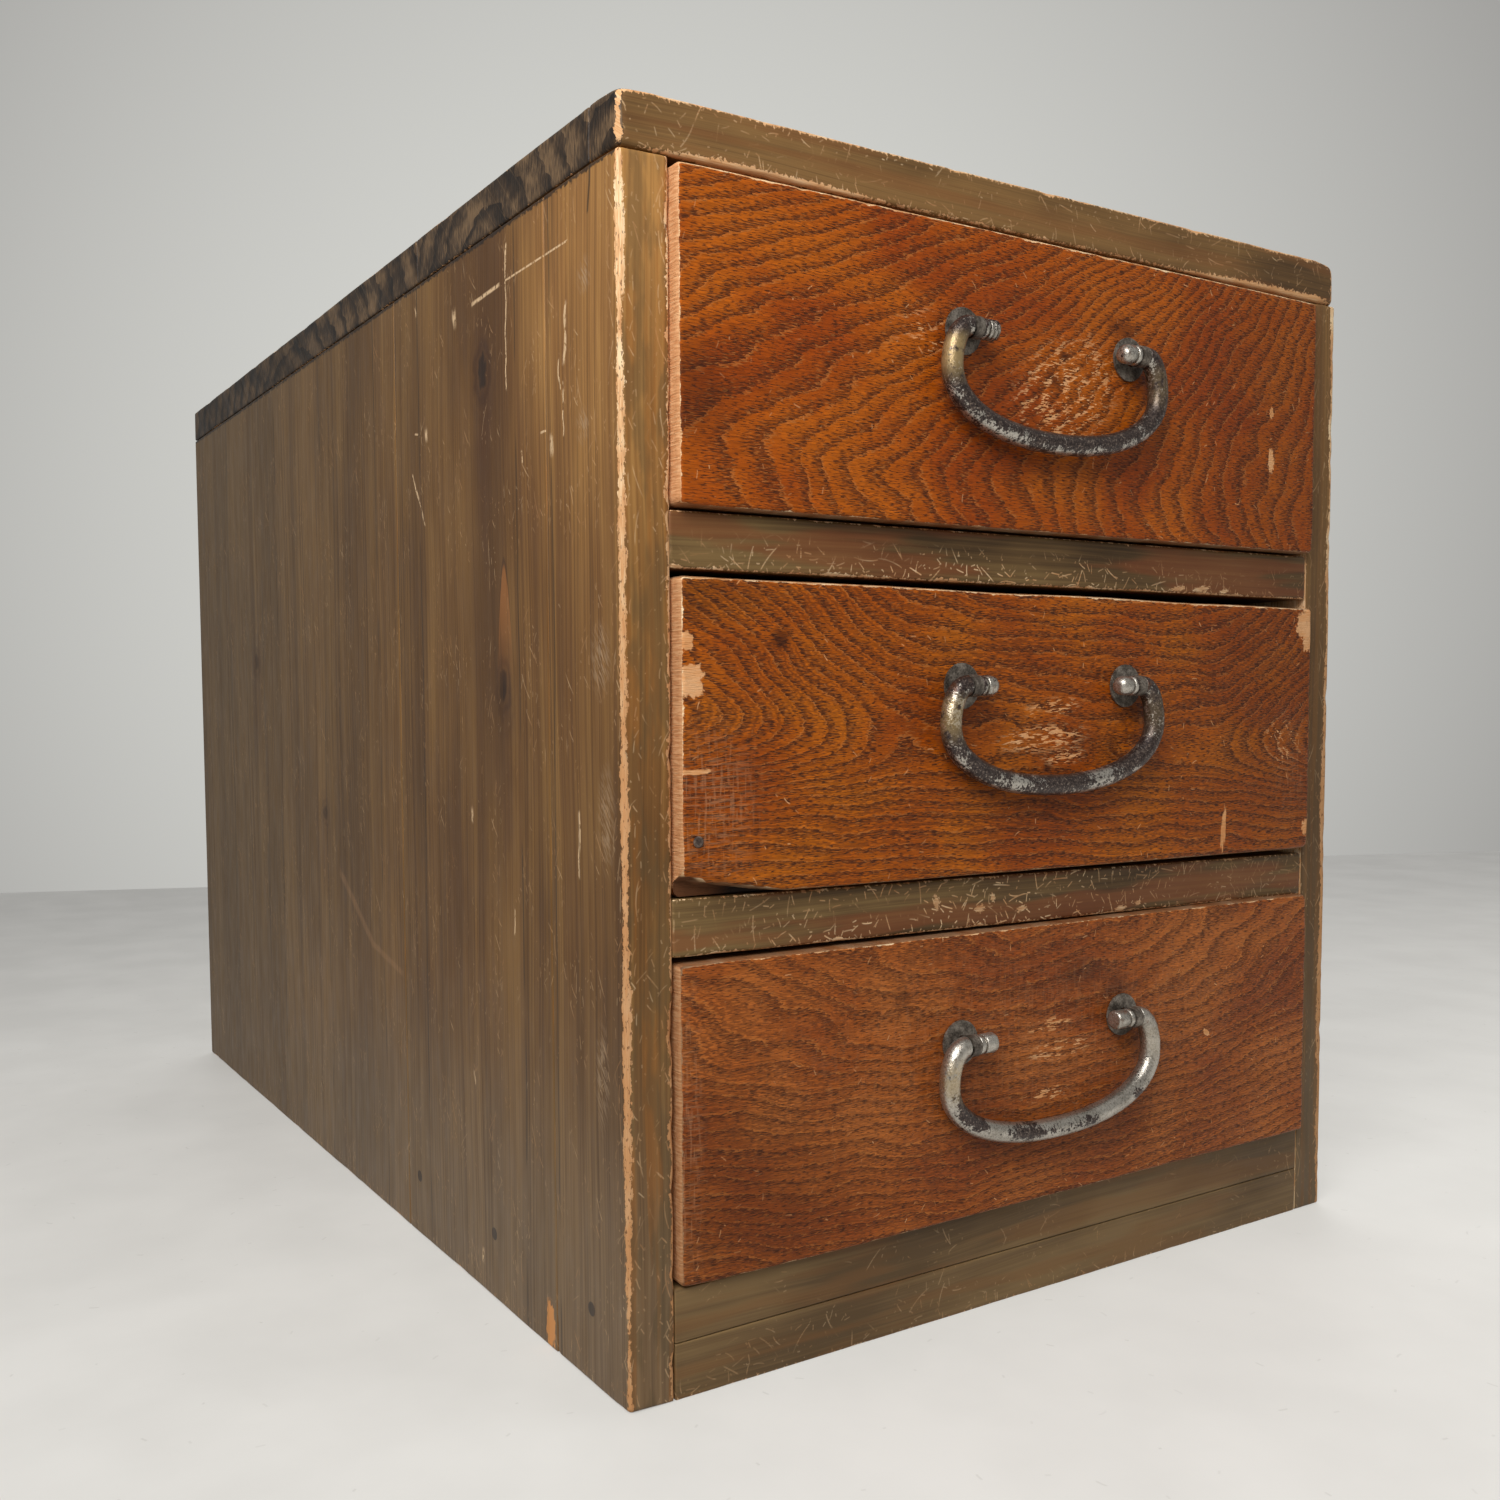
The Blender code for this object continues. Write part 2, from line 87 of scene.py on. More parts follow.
class Value:
    """What a socket gives; arithmetic on it adds nodes."""

    def __init__(self, tree, socket):
        self.tree = tree
        self.socket = socket

    def math(self, operation, *others):
        terms = dict(enumerate((self, *others)))
        return self.tree.value("ShaderNodeMath", 0, terms, operation=operation)

    def __add__(self, other):
        return self.math("ADD", other)

    def __sub__(self, other):
        return self.math("SUBTRACT", other)

    def __rsub__(self, other):
        return self.math("MULTIPLY_ADD", -1.0, other)

    def __mul__(self, other):
        return self.math("MULTIPLY", other)

    def __truediv__(self, other):
        return self.math("DIVIDE", other)

    def __abs__(self):
        return self.math("ABSOLUTE")

    __radd__ = __add__
    __rmul__ = __mul__

    def hypot(self, other):
        return (self * self + other * other).math("SQRT")

    def above(self, other):
        return self.math("MAXIMUM", other)

    def below(self, other):
        return self.math("MINIMUM", other)

    def rise(self, low, high):
        """0 below low, 1 above high and smooth between; falls instead where low is the larger."""
        terms = {"Value": self, "From Min": low, "From Max": high}
        return self.tree.value("ShaderNodeMapRange", "Result", terms, interpolation_type="SMOOTHSTEP")


class Tree:
    """A node tree under construction."""

    def __init__(self, owner):
        owner.use_nodes = True
        self.tree = owner.node_tree
        self.tree.nodes.clear()

    def node(self, kind, terms, **settings):
        """Adds a node; terms gives a Value or a plain number or colour for each input that is set."""
        node = self.tree.nodes.new(kind)
        for key, setting in settings.items():
            setattr(node, key, setting)
        for key, term in terms.items():
            if isinstance(term, Value):
                self.tree.links.new(term.socket, node.inputs[key])
            else:
                node.inputs[key].default_value = term
        return node

    def value(self, kind, output, terms, **settings):
        return Value(self, self.node(kind, terms, **settings).outputs[output])

    def mix(self, share, first, second):
        return self.value("ShaderNodeMix", 2, {0: share, 6: first, 7: second}, data_type="RGBA")

    def background_ray(self):
        """1 for rays that show the background: from the camera, off gloss or through glass."""
        path = self.node("ShaderNodeLightPath", {})
        names = ("Is Camera Ray", "Is Glossy Ray", "Is Transmission Ray")
        camera, glossy, through = (Value(self, path.outputs[name]) for name in names)
        return camera.above(glossy).above(through)


class Surface(Tree):
    """A material under construction, with the row frame's coordinates in millimetres as x, y and z."""

    def __init__(self, name):
        self.material = bpy.data.materials.new(name)
        super().__init__(self.material)
        coordinates = self.node("ShaderNodeTexCoord", {})
        self.place = Value(self, coordinates.outputs["Object"])
        self.x, self.y, self.z = (part * 1000.0 for part in self.split(self.place))
        self.nx, self.ny, self.nz = self.split(Value(self, coordinates.outputs["Normal"]))

    def split(self, vector):
        node = self.node("ShaderNodeSeparateXYZ", {0: vector})
        return [Value(self, out) for out in node.outputs]

    def attribute(self, name):
        return self.value("ShaderNodeAttribute", "Fac", {}, attribute_name=name)

    def plane(self, a, b):
        return self.value("ShaderNodeCombineXYZ", 0, {0: a, 1: b})

    def noise(self, a, b, seed, detail=1.0, roughness=0.5):
        """Noise about 0.5, with features about one unit of a and b across."""
        terms = {"Vector": self.plane(a + seed * SEED_SHIFT[0], b + seed * SEED_SHIFT[1])}
        terms |= {"Scale": 1.0, "Detail": detail, "Roughness": roughness}
        return self.value("ShaderNodeTexNoise", 0, terms, noise_dimensions="2D")

    def solid_noise(self, size, seed, detail=3.0, roughness=0.55):
        """Noise about 0.5 through the piece's volume, with features about this many mm across."""
        terms = {"Vector": self.place, "W": seed, "Scale": 1000.0 / size}
        terms |= {"Detail": detail, "Roughness": roughness}
        return self.value("ShaderNodeTexNoise", 0, terms, noise_dimensions="4D")

    def scattered(self, u, v, size, seed):
        """Offsets from the nearest of many scattered points, and that point's three random numbers."""
        a, b = u / size + seed * SEED_SHIFT[0], v / size + seed * SEED_SHIFT[1]
        terms = {"Vector": self.plane(a, b), "Scale": 1.0}
        node = self.node("ShaderNodeTexVoronoi", terms, voronoi_dimensions="2D")
        place, luck = (self.split(Value(self, node.outputs[name])) for name in ("Position", "Color"))
        return (a - place[0]) * size, (b - place[1]) * size, luck

    def nicks(self, u, v, size, seed, length, width, swing=math.tau):
        """Scattered short bent strokes within swing of u, about two to every three squares this size."""
        p, q, (turn, bend, luck) = self.scattered(u, v, size, seed)
        angle = (turn - 0.5) * swing
        c, s = angle.math("COSINE"), angle.math("SINE")
        along, across = p * c + q * s, q * c - p * s
        across = across + along * along * (bend - 0.5) * (0.3 / length)
        reach = bend * length + 0.25 * length
        drawn = abs(across).rise(width, width * 0.3) * (abs(along) / reach).rise(1.0, 0.6)
        return drawn * luck.rise(0.72, 0.67) * (turn * 0.6 + 0.5)

    def stroke(self, u, v, start, stop, width):
        """1 along a straight scratch between two points."""
        du, dv = stop[0] - start[0], stop[1] - start[1]
        span = math.hypot(du, dv)
        p, q = u - start[0], v - start[1]
        along = (p * du + q * dv) / span
        across = (q * du - p * dv) / span
        inside = along.rise(-width, width) * along.rise(span + width, span - width)
        return abs(across).rise(width, width * 0.3) * inside

    def tint(self, colour, factor):
        """A colour made darker or brighter by a factor."""
        return self.value("ShaderNodeVectorMath", 0, {0: colour, "Scale": factor}, operation="SCALE")

    def ramp(self, share, *stops):
        node = self.node("ShaderNodeValToRGB", {0: share})
        elements = node.color_ramp.elements
        while len(elements) < len(stops):
            elements.new(0.5)
        for element, (place, colour) in zip(elements, stops):
            element.position = place
            element.color = colour
        return Value(self, node.outputs[0])

    def turned(self, u, v, angle):
        """Coordinates along and across a direction in the u, v plane."""
        c, s = math.cos(math.radians(angle)), math.sin(math.radians(angle))
        return u * c + v * s, v * c - u * s

    def spot(self, u, v, centre, reach, angle=0.0, ragged=0.5, seed=0.0, boxy=False):
        """1 inside a ragged ellipse, or a patch nearer to a box, 0 outside."""
        p, q = self.turned(u - centre[0], v - centre[1], angle)
        p, q = p / reach[0], q / reach[1]
        edge = (self.noise(p * 2.2, q * 2.2, seed + centre[0], detail=3.0) - 0.5) * (2.4 * ragged)
        far = (p * p).hypot(q * q).math("SQRT") if boxy else p.hypot(q)
        return (far + edge).rise(1.05, 0.85)

    def soft_spot(self, u, v, centre, reach):
        """1 in the middle of an ellipse, fading to 0 a little outside it."""
        return ((u - centre[0]) / reach[0]).hypot((v - centre[1]) / reach[1]).rise(1.3, 0.2)

    def bump(self, height, depth, strength):
        terms = {"Strength": strength, "Distance": depth, "Height": height}
        return self.value("ShaderNodeBump", 0, terms)

    def finish(self, colour, roughness, normal, metallic=0.0, specular=0.5, emission=None):
        """Closes the material; emission is a colour and a strength."""
        terms = {"Base Color": colour, "Roughness": roughness, "Metallic": metallic, "Normal": normal}
        terms["Specular IOR Level"] = specular
        if emission:
            terms |= {"Emission Color": emission[0], "Emission Strength": emission[1]}
        self.node("ShaderNodeOutputMaterial", {0: self.value("ShaderNodeBsdfPrincipled", 0, terms)})
        return self.material


# Woods
RAW_DARK = rgb(192, 134, 86)
RAW_MID = rgb(222, 174, 124)
RAW_PALE = rgb(243, 212, 168)
GRIME = rgb(48, 38, 28)
# Shift of the grain from the left side to the right one, in mm
SIDE_SHIFT = 303.0


def raw_wood(s, along, across, seed):
    """Bare wood where the finish is gone."""
    fibre = s.noise(along / 7.0, across / 0.4, seed, detail=2.0)
    tone = s.noise(along / 14.0, across / 9.0, seed + 1.0, detail=2.0)
    return s.ramp(fibre * 0.5 + tone * 0.5, (0.34, RAW_DARK), (0.48, RAW_MID), (0.62, RAW_PALE))


def peeled(s, along, across, seed, ragged, tear):
    """1 on the bare rims of worn edges, torn about every so many mm along the grain."""
    torn = (s.noise(along / tear, across / 1.8, seed, detail=3.0, roughness=0.65) - 0.5) * ragged
    return (s.attribute("peel") + torn).rise(-0.1, 0.15)


def scuffs(s, along, across, seed, swing, sparse=0.5, apart=1.0):
    """Scratches and specks, in patches and beside worn edges."""
    strokes = s.nicks(along, across, 9.0 * apart, seed, 5.0, 0.30, swing)
    short = s.nicks(along, across, 4.6 * apart, seed + 10.0, 2.0, 0.28, swing)
    specks = s.nicks(along, across, 3.6, seed + 20.0, 0.6, 0.32, swing) * 0.8
    patch = s.noise(along / 22.0, across / 14.0, seed + 30.0, detail=3.0).rise(sparse, sparse + 0.12)
    beside = s.attribute("peel").rise(-6.5, -1.5)
    return strokes.above(short).above(specks) * (patch * 0.7).above(beside * 0.9)


def wavy(s, along, across, seed):
    """The place across the grain, on fibres that wander a little."""
    return across + (s.noise(along / 170.0, across / 60.0, seed) - 0.5) * 7.0


def stain_tones(s, along, across, seed, tones, streaks):
    """Straight-grained softwood under thin stain, with a share of streaks, and its grain's height."""
    c = wavy(s, along, across, seed)
    wide = s.noise(along / 420.0, c / 11.0, seed + 1.0, detail=2.0)
    lines = s.noise(along / 500.0, c / 1.3, seed + 2.0)
    fine = s.noise(along / 30.0, c / 0.5, seed + 3.0)
    cloud = s.noise(along / 90.0, across / 30.0, seed + 4.0, detail=3.0)
    tone = wide * 0.24 + lines * streaks + fine * 0.10 + cloud * (0.66 - streaks)
    return s.ramp(tone, *zip((0.40, 0.50, 0.60), tones)), fine * 0.5 + lines * 0.5


def growth_lines(s, along, across, seed, colour, dark, share):
    """Thin dark lines between the growth rings of softwood."""
    c = wavy(s, along, across, seed)
    ring = abs(s.noise(along / 700.0, c / 3.6, seed + 5.0) - 0.5)
    deeper = (*(0.55 * part for part in dark[:3]), 1.0)
    return s.mix(ring.rise(0.035, 0.008) * share, colour, deeper)


def stained(name, grain, seed, tones, blush, knocks=0.5, marks=None, where=None):
    """Stained case wood; grain is the axis that its fibres follow, blush a second tone and its share."""
    s = Surface(name)
    upright = grain == "z"
    if upright:
        along, across = s.z, abs(s.x) + s.y + s.x.rise(-1.0, 1.0) * SIDE_SHIFT - SIDE_SHIFT
        streaks, lines, tear, swing = 0.30, 0.5, 2.4, 1.6
    else:
        along, across = s.x, s.z - s.y
        streaks, lines, tear, swing = 0.14, 0.2, 1.4, math.tau
    colour, height = stain_tones(s, along, across, seed, tones, streaks)
    streak = s.noise(along / 80.0, across / 8.0, seed + 6.0, detail=2.0).rise(0.45, 0.6)
    colour = s.mix(streak * blush[1], colour, blush[0])
    if marks:
        colour = marks(s, colour, height)
    lines = lines - s.ny.rise(-0.5, -0.8) * (lines * 0.6)
    colour = growth_lines(s, along, across, seed, colour, tones[0], lines)
    bare = raw_wood(s, along, across, seed + 11.0)
    if where:
        lifted = scuffs(s, along, across, seed + 20.0, swing, 0.40, 0.72) * where(s) * knocks
    else:
        lifted = scuffs(s, along, across, seed + 20.0, swing) * knocks
    colour = s.mix(lifted, colour, s.mix(0.25, bare, colour))
    if upright:
        inside = (s.nx * s.x).rise(-70.0, -110.0)
        colour = s.mix(inside, colour, s.tint(bare, 0.8))
        bare = s.mix(s.z.rise(310.0, 170.0) * 0.8, bare, rgb(186, 132, 84))
        split = s.noise(across / 0.8, along / 1.8, seed + 13.0, detail=3.0).rise(0.62, 0.7)
        bare = s.mix(split * 0.8, bare, rgb(96, 60, 34))
    raw = peeled(s, along, across, seed + 12.0, 2.8, tear)
    colour = s.mix(raw, colour, bare)
    gloss = s.noise(along / 18.0, across / 5.0, seed + 14.0, detail=3.0)
    roughness = gloss * 0.25 + 0.38 + raw * 0.3 + lifted * 0.2
    normal = s.bump(height * 0.35 - raw * 0.5, 0.00022, 0.7)
    return s.finish(colour, roughness, normal, specular=0.26)


def rail_knocks(s):
    """Where the divider rails are knocked: most left of the middle, and low down on the upper one."""
    upper = s.z.rise(241.0, 235.0) * s.z.rise(180.0, 190.0)
    height = upper.above(s.z.rise(190.0, 180.0))
    return height * (abs(s.x + 25.0).rise(115.0, 30.0) * 0.6 + 0.4)


# Bare patches on the divider rails as place and reach, in mm
RAIL_PATCHES = (
    ((-42.0, 131.5), (1.2, 2.3)),
    ((-24.0, 128.0), (2.3, 1.2)),
    ((-18.5, 131.0), (1.0, 1.5)),
    ((-6.0, 126.5), (2.4, 0.9)),
    ((40.0, 122.8), (2.8, 0.9)),
    ((48.5, 124.0), (1.4, 0.8)),
    ((67.0, 230.7), (3.4, 0.8)),
    ((79.0, 231.0), (4.4, 0.9)),
    ((91.0, 230.6), (2.4, 0.7)),
)


def rail_marks(s, colour, _height):
    """Small bare patches in the rails' stain."""
    bare = raw_wood(s, s.x, s.z, 71.0)
    for place, reach in RAIL_PATCHES:
        colour = s.mix(s.spot(s.x, s.z, place, reach, 8.0, 0.8, 3.0) * 0.65, colour, bare)
    return colour


SIDE_SEAMS = (
    (-190.0, -0.05),
    (-167.0, 0.05),
    (-88.0, -0.07),
    (-66.0, 0.08),
    (-43.0, -0.09),
    (24.0, 0.10),
    (91.0, -0.11),
    (116.0, 0.09),
    (176.0, -0.06),
)
SIDE_KNOTS = (
    (-143.0, 296.5, 6.5, 10.0, 1.0),
    (-155.4, 198.0, 5.6, 9.5, 0.9),
    (128.6, 214.0, 7.0, 8.0, 0.5),
    (26.4, 148.0, 6.0, 6.0, 0.5),
)
SLIVER_HEAD = (-156.9, 236.0)
SLIVER_WIDTH = 5.6
SLIVER_LENGTH = 30.0
SIDE_SCRATCHES = (
    ((-136.0, 319.2), (-156.0, 320.1), 0.9),
    ((-161.0, 320.2), (-201.9, 320.6), 0.45),
    ((-161.1, 330.9), (-160.3, 287.9), 0.6),
    ((-81.4, 273.5), (-92.4, 254.9), 0.7),
    ((-121.0, 320.2), (-121.5, 316.0), 2.2),
    ((-95.2, 287.0), (-95.4, 283.5), 1.7),
    ((-200.0, 304.2), (-198.9, 288.0), 1.1),
    ((-190.5, 269.5), (-190.8, 264.0), 1.4),
    ((-205.1, 162.8), (-204.7, 144.2), 0.8),
    ((-129.0, 159.0), (-129.3, 155.0), 1.3),
    ((-128.1, 72.0), (-128.1, 68.0), 1.0),
    ((-133.1, 13.5), (-133.1, 9.5), 1.4),
    ((-183.5, 271.2), (-187.5, 271.4), 0.5),
    ((-195.8, 291.0), (-196.5, 281.0), 0.5),
    ((-198.2, 283.0), (-197.8, 268.0), 0.4),
    ((-87.0, 330.0), (-87.6, 326.8), 0.8),
    ((-170.5, 268.0), (-171.5, 264.5), 0.6),
    ((-84.5, 287.0), (-88.0, 286.5), 0.5),
    ((-161.4, 130.0), (-161.6, 122.0), 0.5),
)
SIDE_CRACK = ((-215.5, 338.0), (-213.8, 324.6), 0.7)
SIDE_DENTS = (((8.1, 124.7), (-30.4, 100.4), 2.4), ((-30.4, 100.4), (-62.7, 93.9), 1.8))
SIDE_HAZE = (
    ((-218.4, 205.0), (6.0, 10.0)),
    ((-221.0, 162.0), (5.0, 15.0)),
    ((-211.4, 308.7), (4.0, 5.0)),
    ((-209.5, 269.0), (4.0, 5.0)),
    ((-217.0, 90.0), (4.0, 16.0)),
)
SIDE_NAILS = ((-76.0, 21.7), (-142.0, 21.7), (-209.0, 21.7))
SIDE_CHIP = ((-182.5, 7.0), (3.0, 8.0))
# How much further back the knots of the right side are than those of the left
RIGHT_SHIFT = 74.0


def side_knot(s, colour, place, reach, strength, seed):
    """A dark knot with ringed wood round it and a streak below."""
    y, z = s.y - s.x.rise(-1.0, 1.0) * RIGHT_SHIFT - place[0], s.z - place[1]
    wide, tall = reach
    far = (y / wide).hypot(z / tall) + (s.noise(s.y / 4.0, s.z / 6.0, seed, detail=2.0) - 0.5) * 0.7
    ring = (far * 9.0).math("SINE") * 0.5 + 0.5
    below = (z + tall * 2.2) / (tall * 5.0)
    drift = (s.noise(s.z / 16.0, seed, 5.0) - 0.5) * 0.8
    streak = (abs(y / (wide * 1.7) + drift) + below * below).rise(1.0, 0.0)
    colour = s.mix(streak * 0.5 * strength, colour, rgb(74, 45, 25))
    colour = s.mix(far.rise(2.0, 0.4) * (ring * 0.6 + 0.2) * strength, colour, rgb(58, 34, 19))
    return s.mix(far.rise(0.62, 0.36) * 0.9 * strength, colour, rgb(40, 24, 13))


def side_tones(s, colour, height):
    """Golden at the upper front, partly the wood's tone and partly a painted pool of light; greyer to the
    rear and foot, partly the wood's tone and partly a painted greyish sheen; outer faces darker than front
    edges; in glued strips of slightly other tones.
    """
    y, z = s.y, s.z
    # Brighter at the upper front: partly the wood's golden tone, partly a painted pool of light from the
    # lamp at the front left; the outer faces are drawn darker than the front edges.
    golden_and_lit = z.rise(130.0, 330.0) * y.rise(-110.0, -210.0)
    colour = s.tint(colour, golden_and_lit * 0.69 + 0.75 + s.ny.rise(-0.5, -0.8) * 0.23)
    # Greyer to the rear and foot: partly the wood's duller tone, partly a painted greyish sheen of the
    # room.
    dulled_and_sheen = s.mix(z.rise(150.0, 40.0) * y.rise(150.0, -60.0), rgb(103, 85, 59), rgb(121, 103, 80))
    share = (y.rise(-190.0, 190.0) * 0.6).above(z.rise(130.0, 20.0) * 0.6)
    colour = s.mix(share, colour, s.tint(dulled_and_sheen, height * 1.1 + 0.45))
    strips = []
    for place, step in SIDE_SEAMS:
        offset = y + (s.noise(z / 90.0, place, 3.0) - 0.5) * 3.0 - place
        strips.append(offset.rise(-0.4, 0.4) * step)
        line = abs(offset).rise(0.7, 0.15) * s.noise(z / 40.0, place, 4.0).rise(0.36, 0.52)
        colour = s.mix(line * 0.65, colour, GRIME)
    return s.tint(colour, sum(strips[1:], strips[0]) * 1.4 + 1.0)


def stile_tones(s, colour):
    """Orange veins and greenish clouds on the front edges of the sides."""
    front = s.ny.rise(-0.5, -0.8)
    vein = s.noise(s.x / 3.5, s.z / 90.0, 33.0, detail=2.0).rise(0.5, 0.62)
    colour = s.mix(front * vein * 0.5, colour, rgb(146, 92, 38))
    moss = s.noise(s.x / 6.0, s.z / 26.0, 35.0, detail=3.0).rise(0.42, 0.6).above(s.x.rise(0.0, 50.0))
    return s.mix(front * moss * 0.45, colour, rgb(86, 71, 46))


def side_knots(s, colour, left):
    """Knots, a dark streak along the grain, and a pale sliver on the left side with a painted shadow line
    round it.
    """
    y, z = s.y, s.z
    reach = abs(y + 147.0 + (s.noise(z / 60.0, 1.0, 31.0) - 0.5) * 10.0)
    colour = s.mix(reach.rise(27.0, 3.0) * z.rise(110.0, 220.0) * 0.8, colour, rgb(74, 47, 23))
    for index, (ky, kz, wide, tall, strength) in enumerate(SIDE_KNOTS):
        colour = side_knot(s, colour, (ky, kz), (wide, tall), strength, 8.0 + index)
    p, q = (y - SLIVER_HEAD[0]) / SLIVER_WIDTH, (SLIVER_HEAD[1] - z) / SLIVER_LENGTH
    inside = q - p * p + (s.noise(z / 9.0, y / 3.0, 5.0) - 0.5) * 0.12
    faded = z.rise(196.0, 230.0) * left
    colour = s.mix(inside.rise(0.0, 0.06) * faded * 0.66, colour, rgb(150, 94, 46))
    # A painted shadow line round the sliver.
    return s.mix(abs(inside).rise(0.09, 0.01) * faded * 0.6, colour, rgb(62, 40, 24))


def side_knocks(s, colour, outer):
    """Scratches, dents, rubbed patches and a crack on the left side."""
    y, z = s.y, s.z
    torn = s.noise(y / 1.6, z / 3.0, 21.0, detail=3.0, roughness=0.7).rise(0.34, 0.5) * outer
    drift = (s.noise(y / 6.0, z / 9.0, 22.0) - 0.5) * 2.4
    scratched = (SIDE_SCRATCHES, torn, 0.85, rgb(220, 186, 144))
    dented = (SIDE_DENTS, outer, 0.35, rgb(150, 112, 76))
    for strokes, shown, share, tone in (scratched, dented):
        for start, stop, width in strokes:
            colour = s.mix(s.stroke(y + drift, z, start, stop, width) * shown * share, colour, tone)
    p, q = s.turned(y, z, 55.0)
    fuzz = s.noise(p / 5.0, q / 0.7, 24.0, detail=3.0).rise(0.42, 0.62)
    for centre, extent in SIDE_HAZE:
        rubbed = s.soft_spot(y, z, centre, extent) * fuzz * outer
        colour = s.mix(rubbed * 0.45, colour, rgb(176, 150, 120))
    return s.mix(s.stroke(y + drift * 0.3, z, *SIDE_CRACK) * outer * 0.8, colour, GRIME)


def side_marks(s, colour, height):
    """Glued strips, knots and nails on both outer sides, and old knocks on the left one."""
    y, z = s.y, s.z
    left = s.x.rise(1.0, -1.0)
    flank = abs(s.nx).rise(0.5, 0.8)
    outer = flank * left
    colour = stile_tones(s, side_tones(s, colour, height))
    colour = side_knocks(s, side_knots(s, colour, left), outer)
    ragged = (s.noise(y / 1.8, z / 1.5, 26.0, detail=2.0) - 0.5) * 2.6
    colour = s.mix((z + ragged).rise(335.3, 336.0) * outer * 0.85, colour, rgb(24, 18, 14))
    for place in SIDE_NAILS:
        nail = (y - place[0]).hypot(z - place[1]).rise(2.3, 1.8) * flank
        colour = s.mix(nail * 0.8, colour, rgb(40, 34, 30))
    return s.mix(s.spot(y, z, *SIDE_CHIP, seed=2.0) * outer, colour, rgb(206, 138, 74))


SIDE_TONES = (rgb(100, 67, 33), rgb(122, 85, 43), rgb(142, 103, 55))
TOP_TONES = (rgb(80, 57, 31), rgb(108, 79, 44), rgb(132, 98, 56))
RAIL_TONES = (rgb(68, 49, 26), rgb(97, 73, 42), rgb(124, 98, 59))
BASE_TONES = (rgb(90, 69, 43), rgb(110, 86, 55), rgb(128, 102, 66))
BACK_TONES = (rgb(84, 66, 44), rgb(112, 90, 62), rgb(136, 111, 78))
BARE_TONES = (rgb(150, 112, 72), rgb(182, 144, 100), rgb(206, 172, 128))

# Drawer lacquer
ORANGE = (rgb(151, 65, 9), rgb(166, 78, 10), rgb(178, 90, 14))
AMBER = (rgb(155, 71, 10), rgb(170, 84, 12), rgb(182, 97, 16))
RUSSET = (rgb(145, 71, 25), rgb(163, 86, 32), rgb(176, 99, 42))
LACQUER_DARK = rgb(76, 37, 17)
LACQUER_PORE = rgb(48, 25, 13)
LACQUER_LINE = rgb(192, 118, 56)
# Colour of dark smudges on the lacquer, and of the painted shade on it
SMUDGE_AND_SHADE = rgb(48, 20, 8)
HAZE = rgb(206, 150, 108)
END_TONES = (rgb(196, 135, 88), rgb(210, 150, 102), rgb(222, 168, 120))
# Values of a noise at which the three tones of a wood lie
TONE_PLACES = (0.34, 0.5, 0.66)


def bow(value, soft):
    """Distance from zero with a rounded foot."""
    return (value * value + soft * soft).math("SQRT") - soft


def top_rings(u, v):
    """Noses that point left along a line above the foot, with long flat upper branches."""
    s = v - 14.0
    up = bow(s.above(0.0), 6.0)
    down = bow(s.below(0.0), 5.0)
    nose = (u - up * 1.16 - down * 0.75) / (1.0 - up * 0.0063)
    return (nose.above(-105.0) + (nose.below(-105.0) + 105.0) * 0.5) * (-1.0 / 10.5)


def middle_rings(u, v):
    """Tongues from both ends, with lines sagging between them above and lying flat below."""
    axis = u * -0.04 + 40.5
    upper = bow((v - axis).above(0.0), 8.0) / 5.0
    lower = bow((v - axis).below(0.0), 7.0) / 4.2
    sag = (u - 12.0) * (u - 12.0) / 9000.0
    ends = bow((abs(u - 12.0) - 66.0).above(0.0), 18.0) / 8.5
    return upper + lower - (ends + sag) * (v - axis).rise(-26.0, 6.0)


def bottom_rings(u, v):
    """Long loops round a centre near the upper edge."""
    reach = ((u + 10.0) / 3.2).hypot(v - 96.0)
    return reach * (reach / 1100.0 + 1.0 / 8.0)


def bare_marks(s, u, v, phase, look):
    """Where the lacquer is off: nicks, flecks along the rings and scars."""
    seed = look["seed"]
    where = s.noise(u / 30.0, v / 20.0, seed + 20.0, detail=2.0).rise(0.45, 0.65)
    lifted = s.nicks(u, v, 7.0, seed + 30.0, 1.3, 0.26) * where * 0.75
    crest = phase.rise(0.78, 0.9)
    hatch = s.noise(u / 3.0, v / 0.5, seed + 40.0)
    for centre, reach, angle, torn_from in look["flecks"]:
        p, q = s.turned(u - centre[0], v - centre[1], angle)
        inside = (p / reach[0]).hypot(q / reach[1]).rise(1.0, 0.45)
        chips = s.noise(p / 7.0, q / 1.8, seed + centre[0], detail=3.0, roughness=0.6)
        torn = chips * 0.6 + hatch * 0.4
        flakes = torn.rise(torn_from, torn_from + 0.025).above(crest * torn.rise(0.48, 0.58) * 0.6)
        lifted = lifted.above(flakes * inside)
    for centre, reach, angle in look["scars"]:
        lifted = lifted.above(s.spot(u, v, centre, reach, angle, 0.5, seed))
    for centre, reach in look["peels"]:
        lifted = lifted.above(s.spot(u, v, centre, reach, 0.0, 0.4, seed, boxy=True))
    return lifted


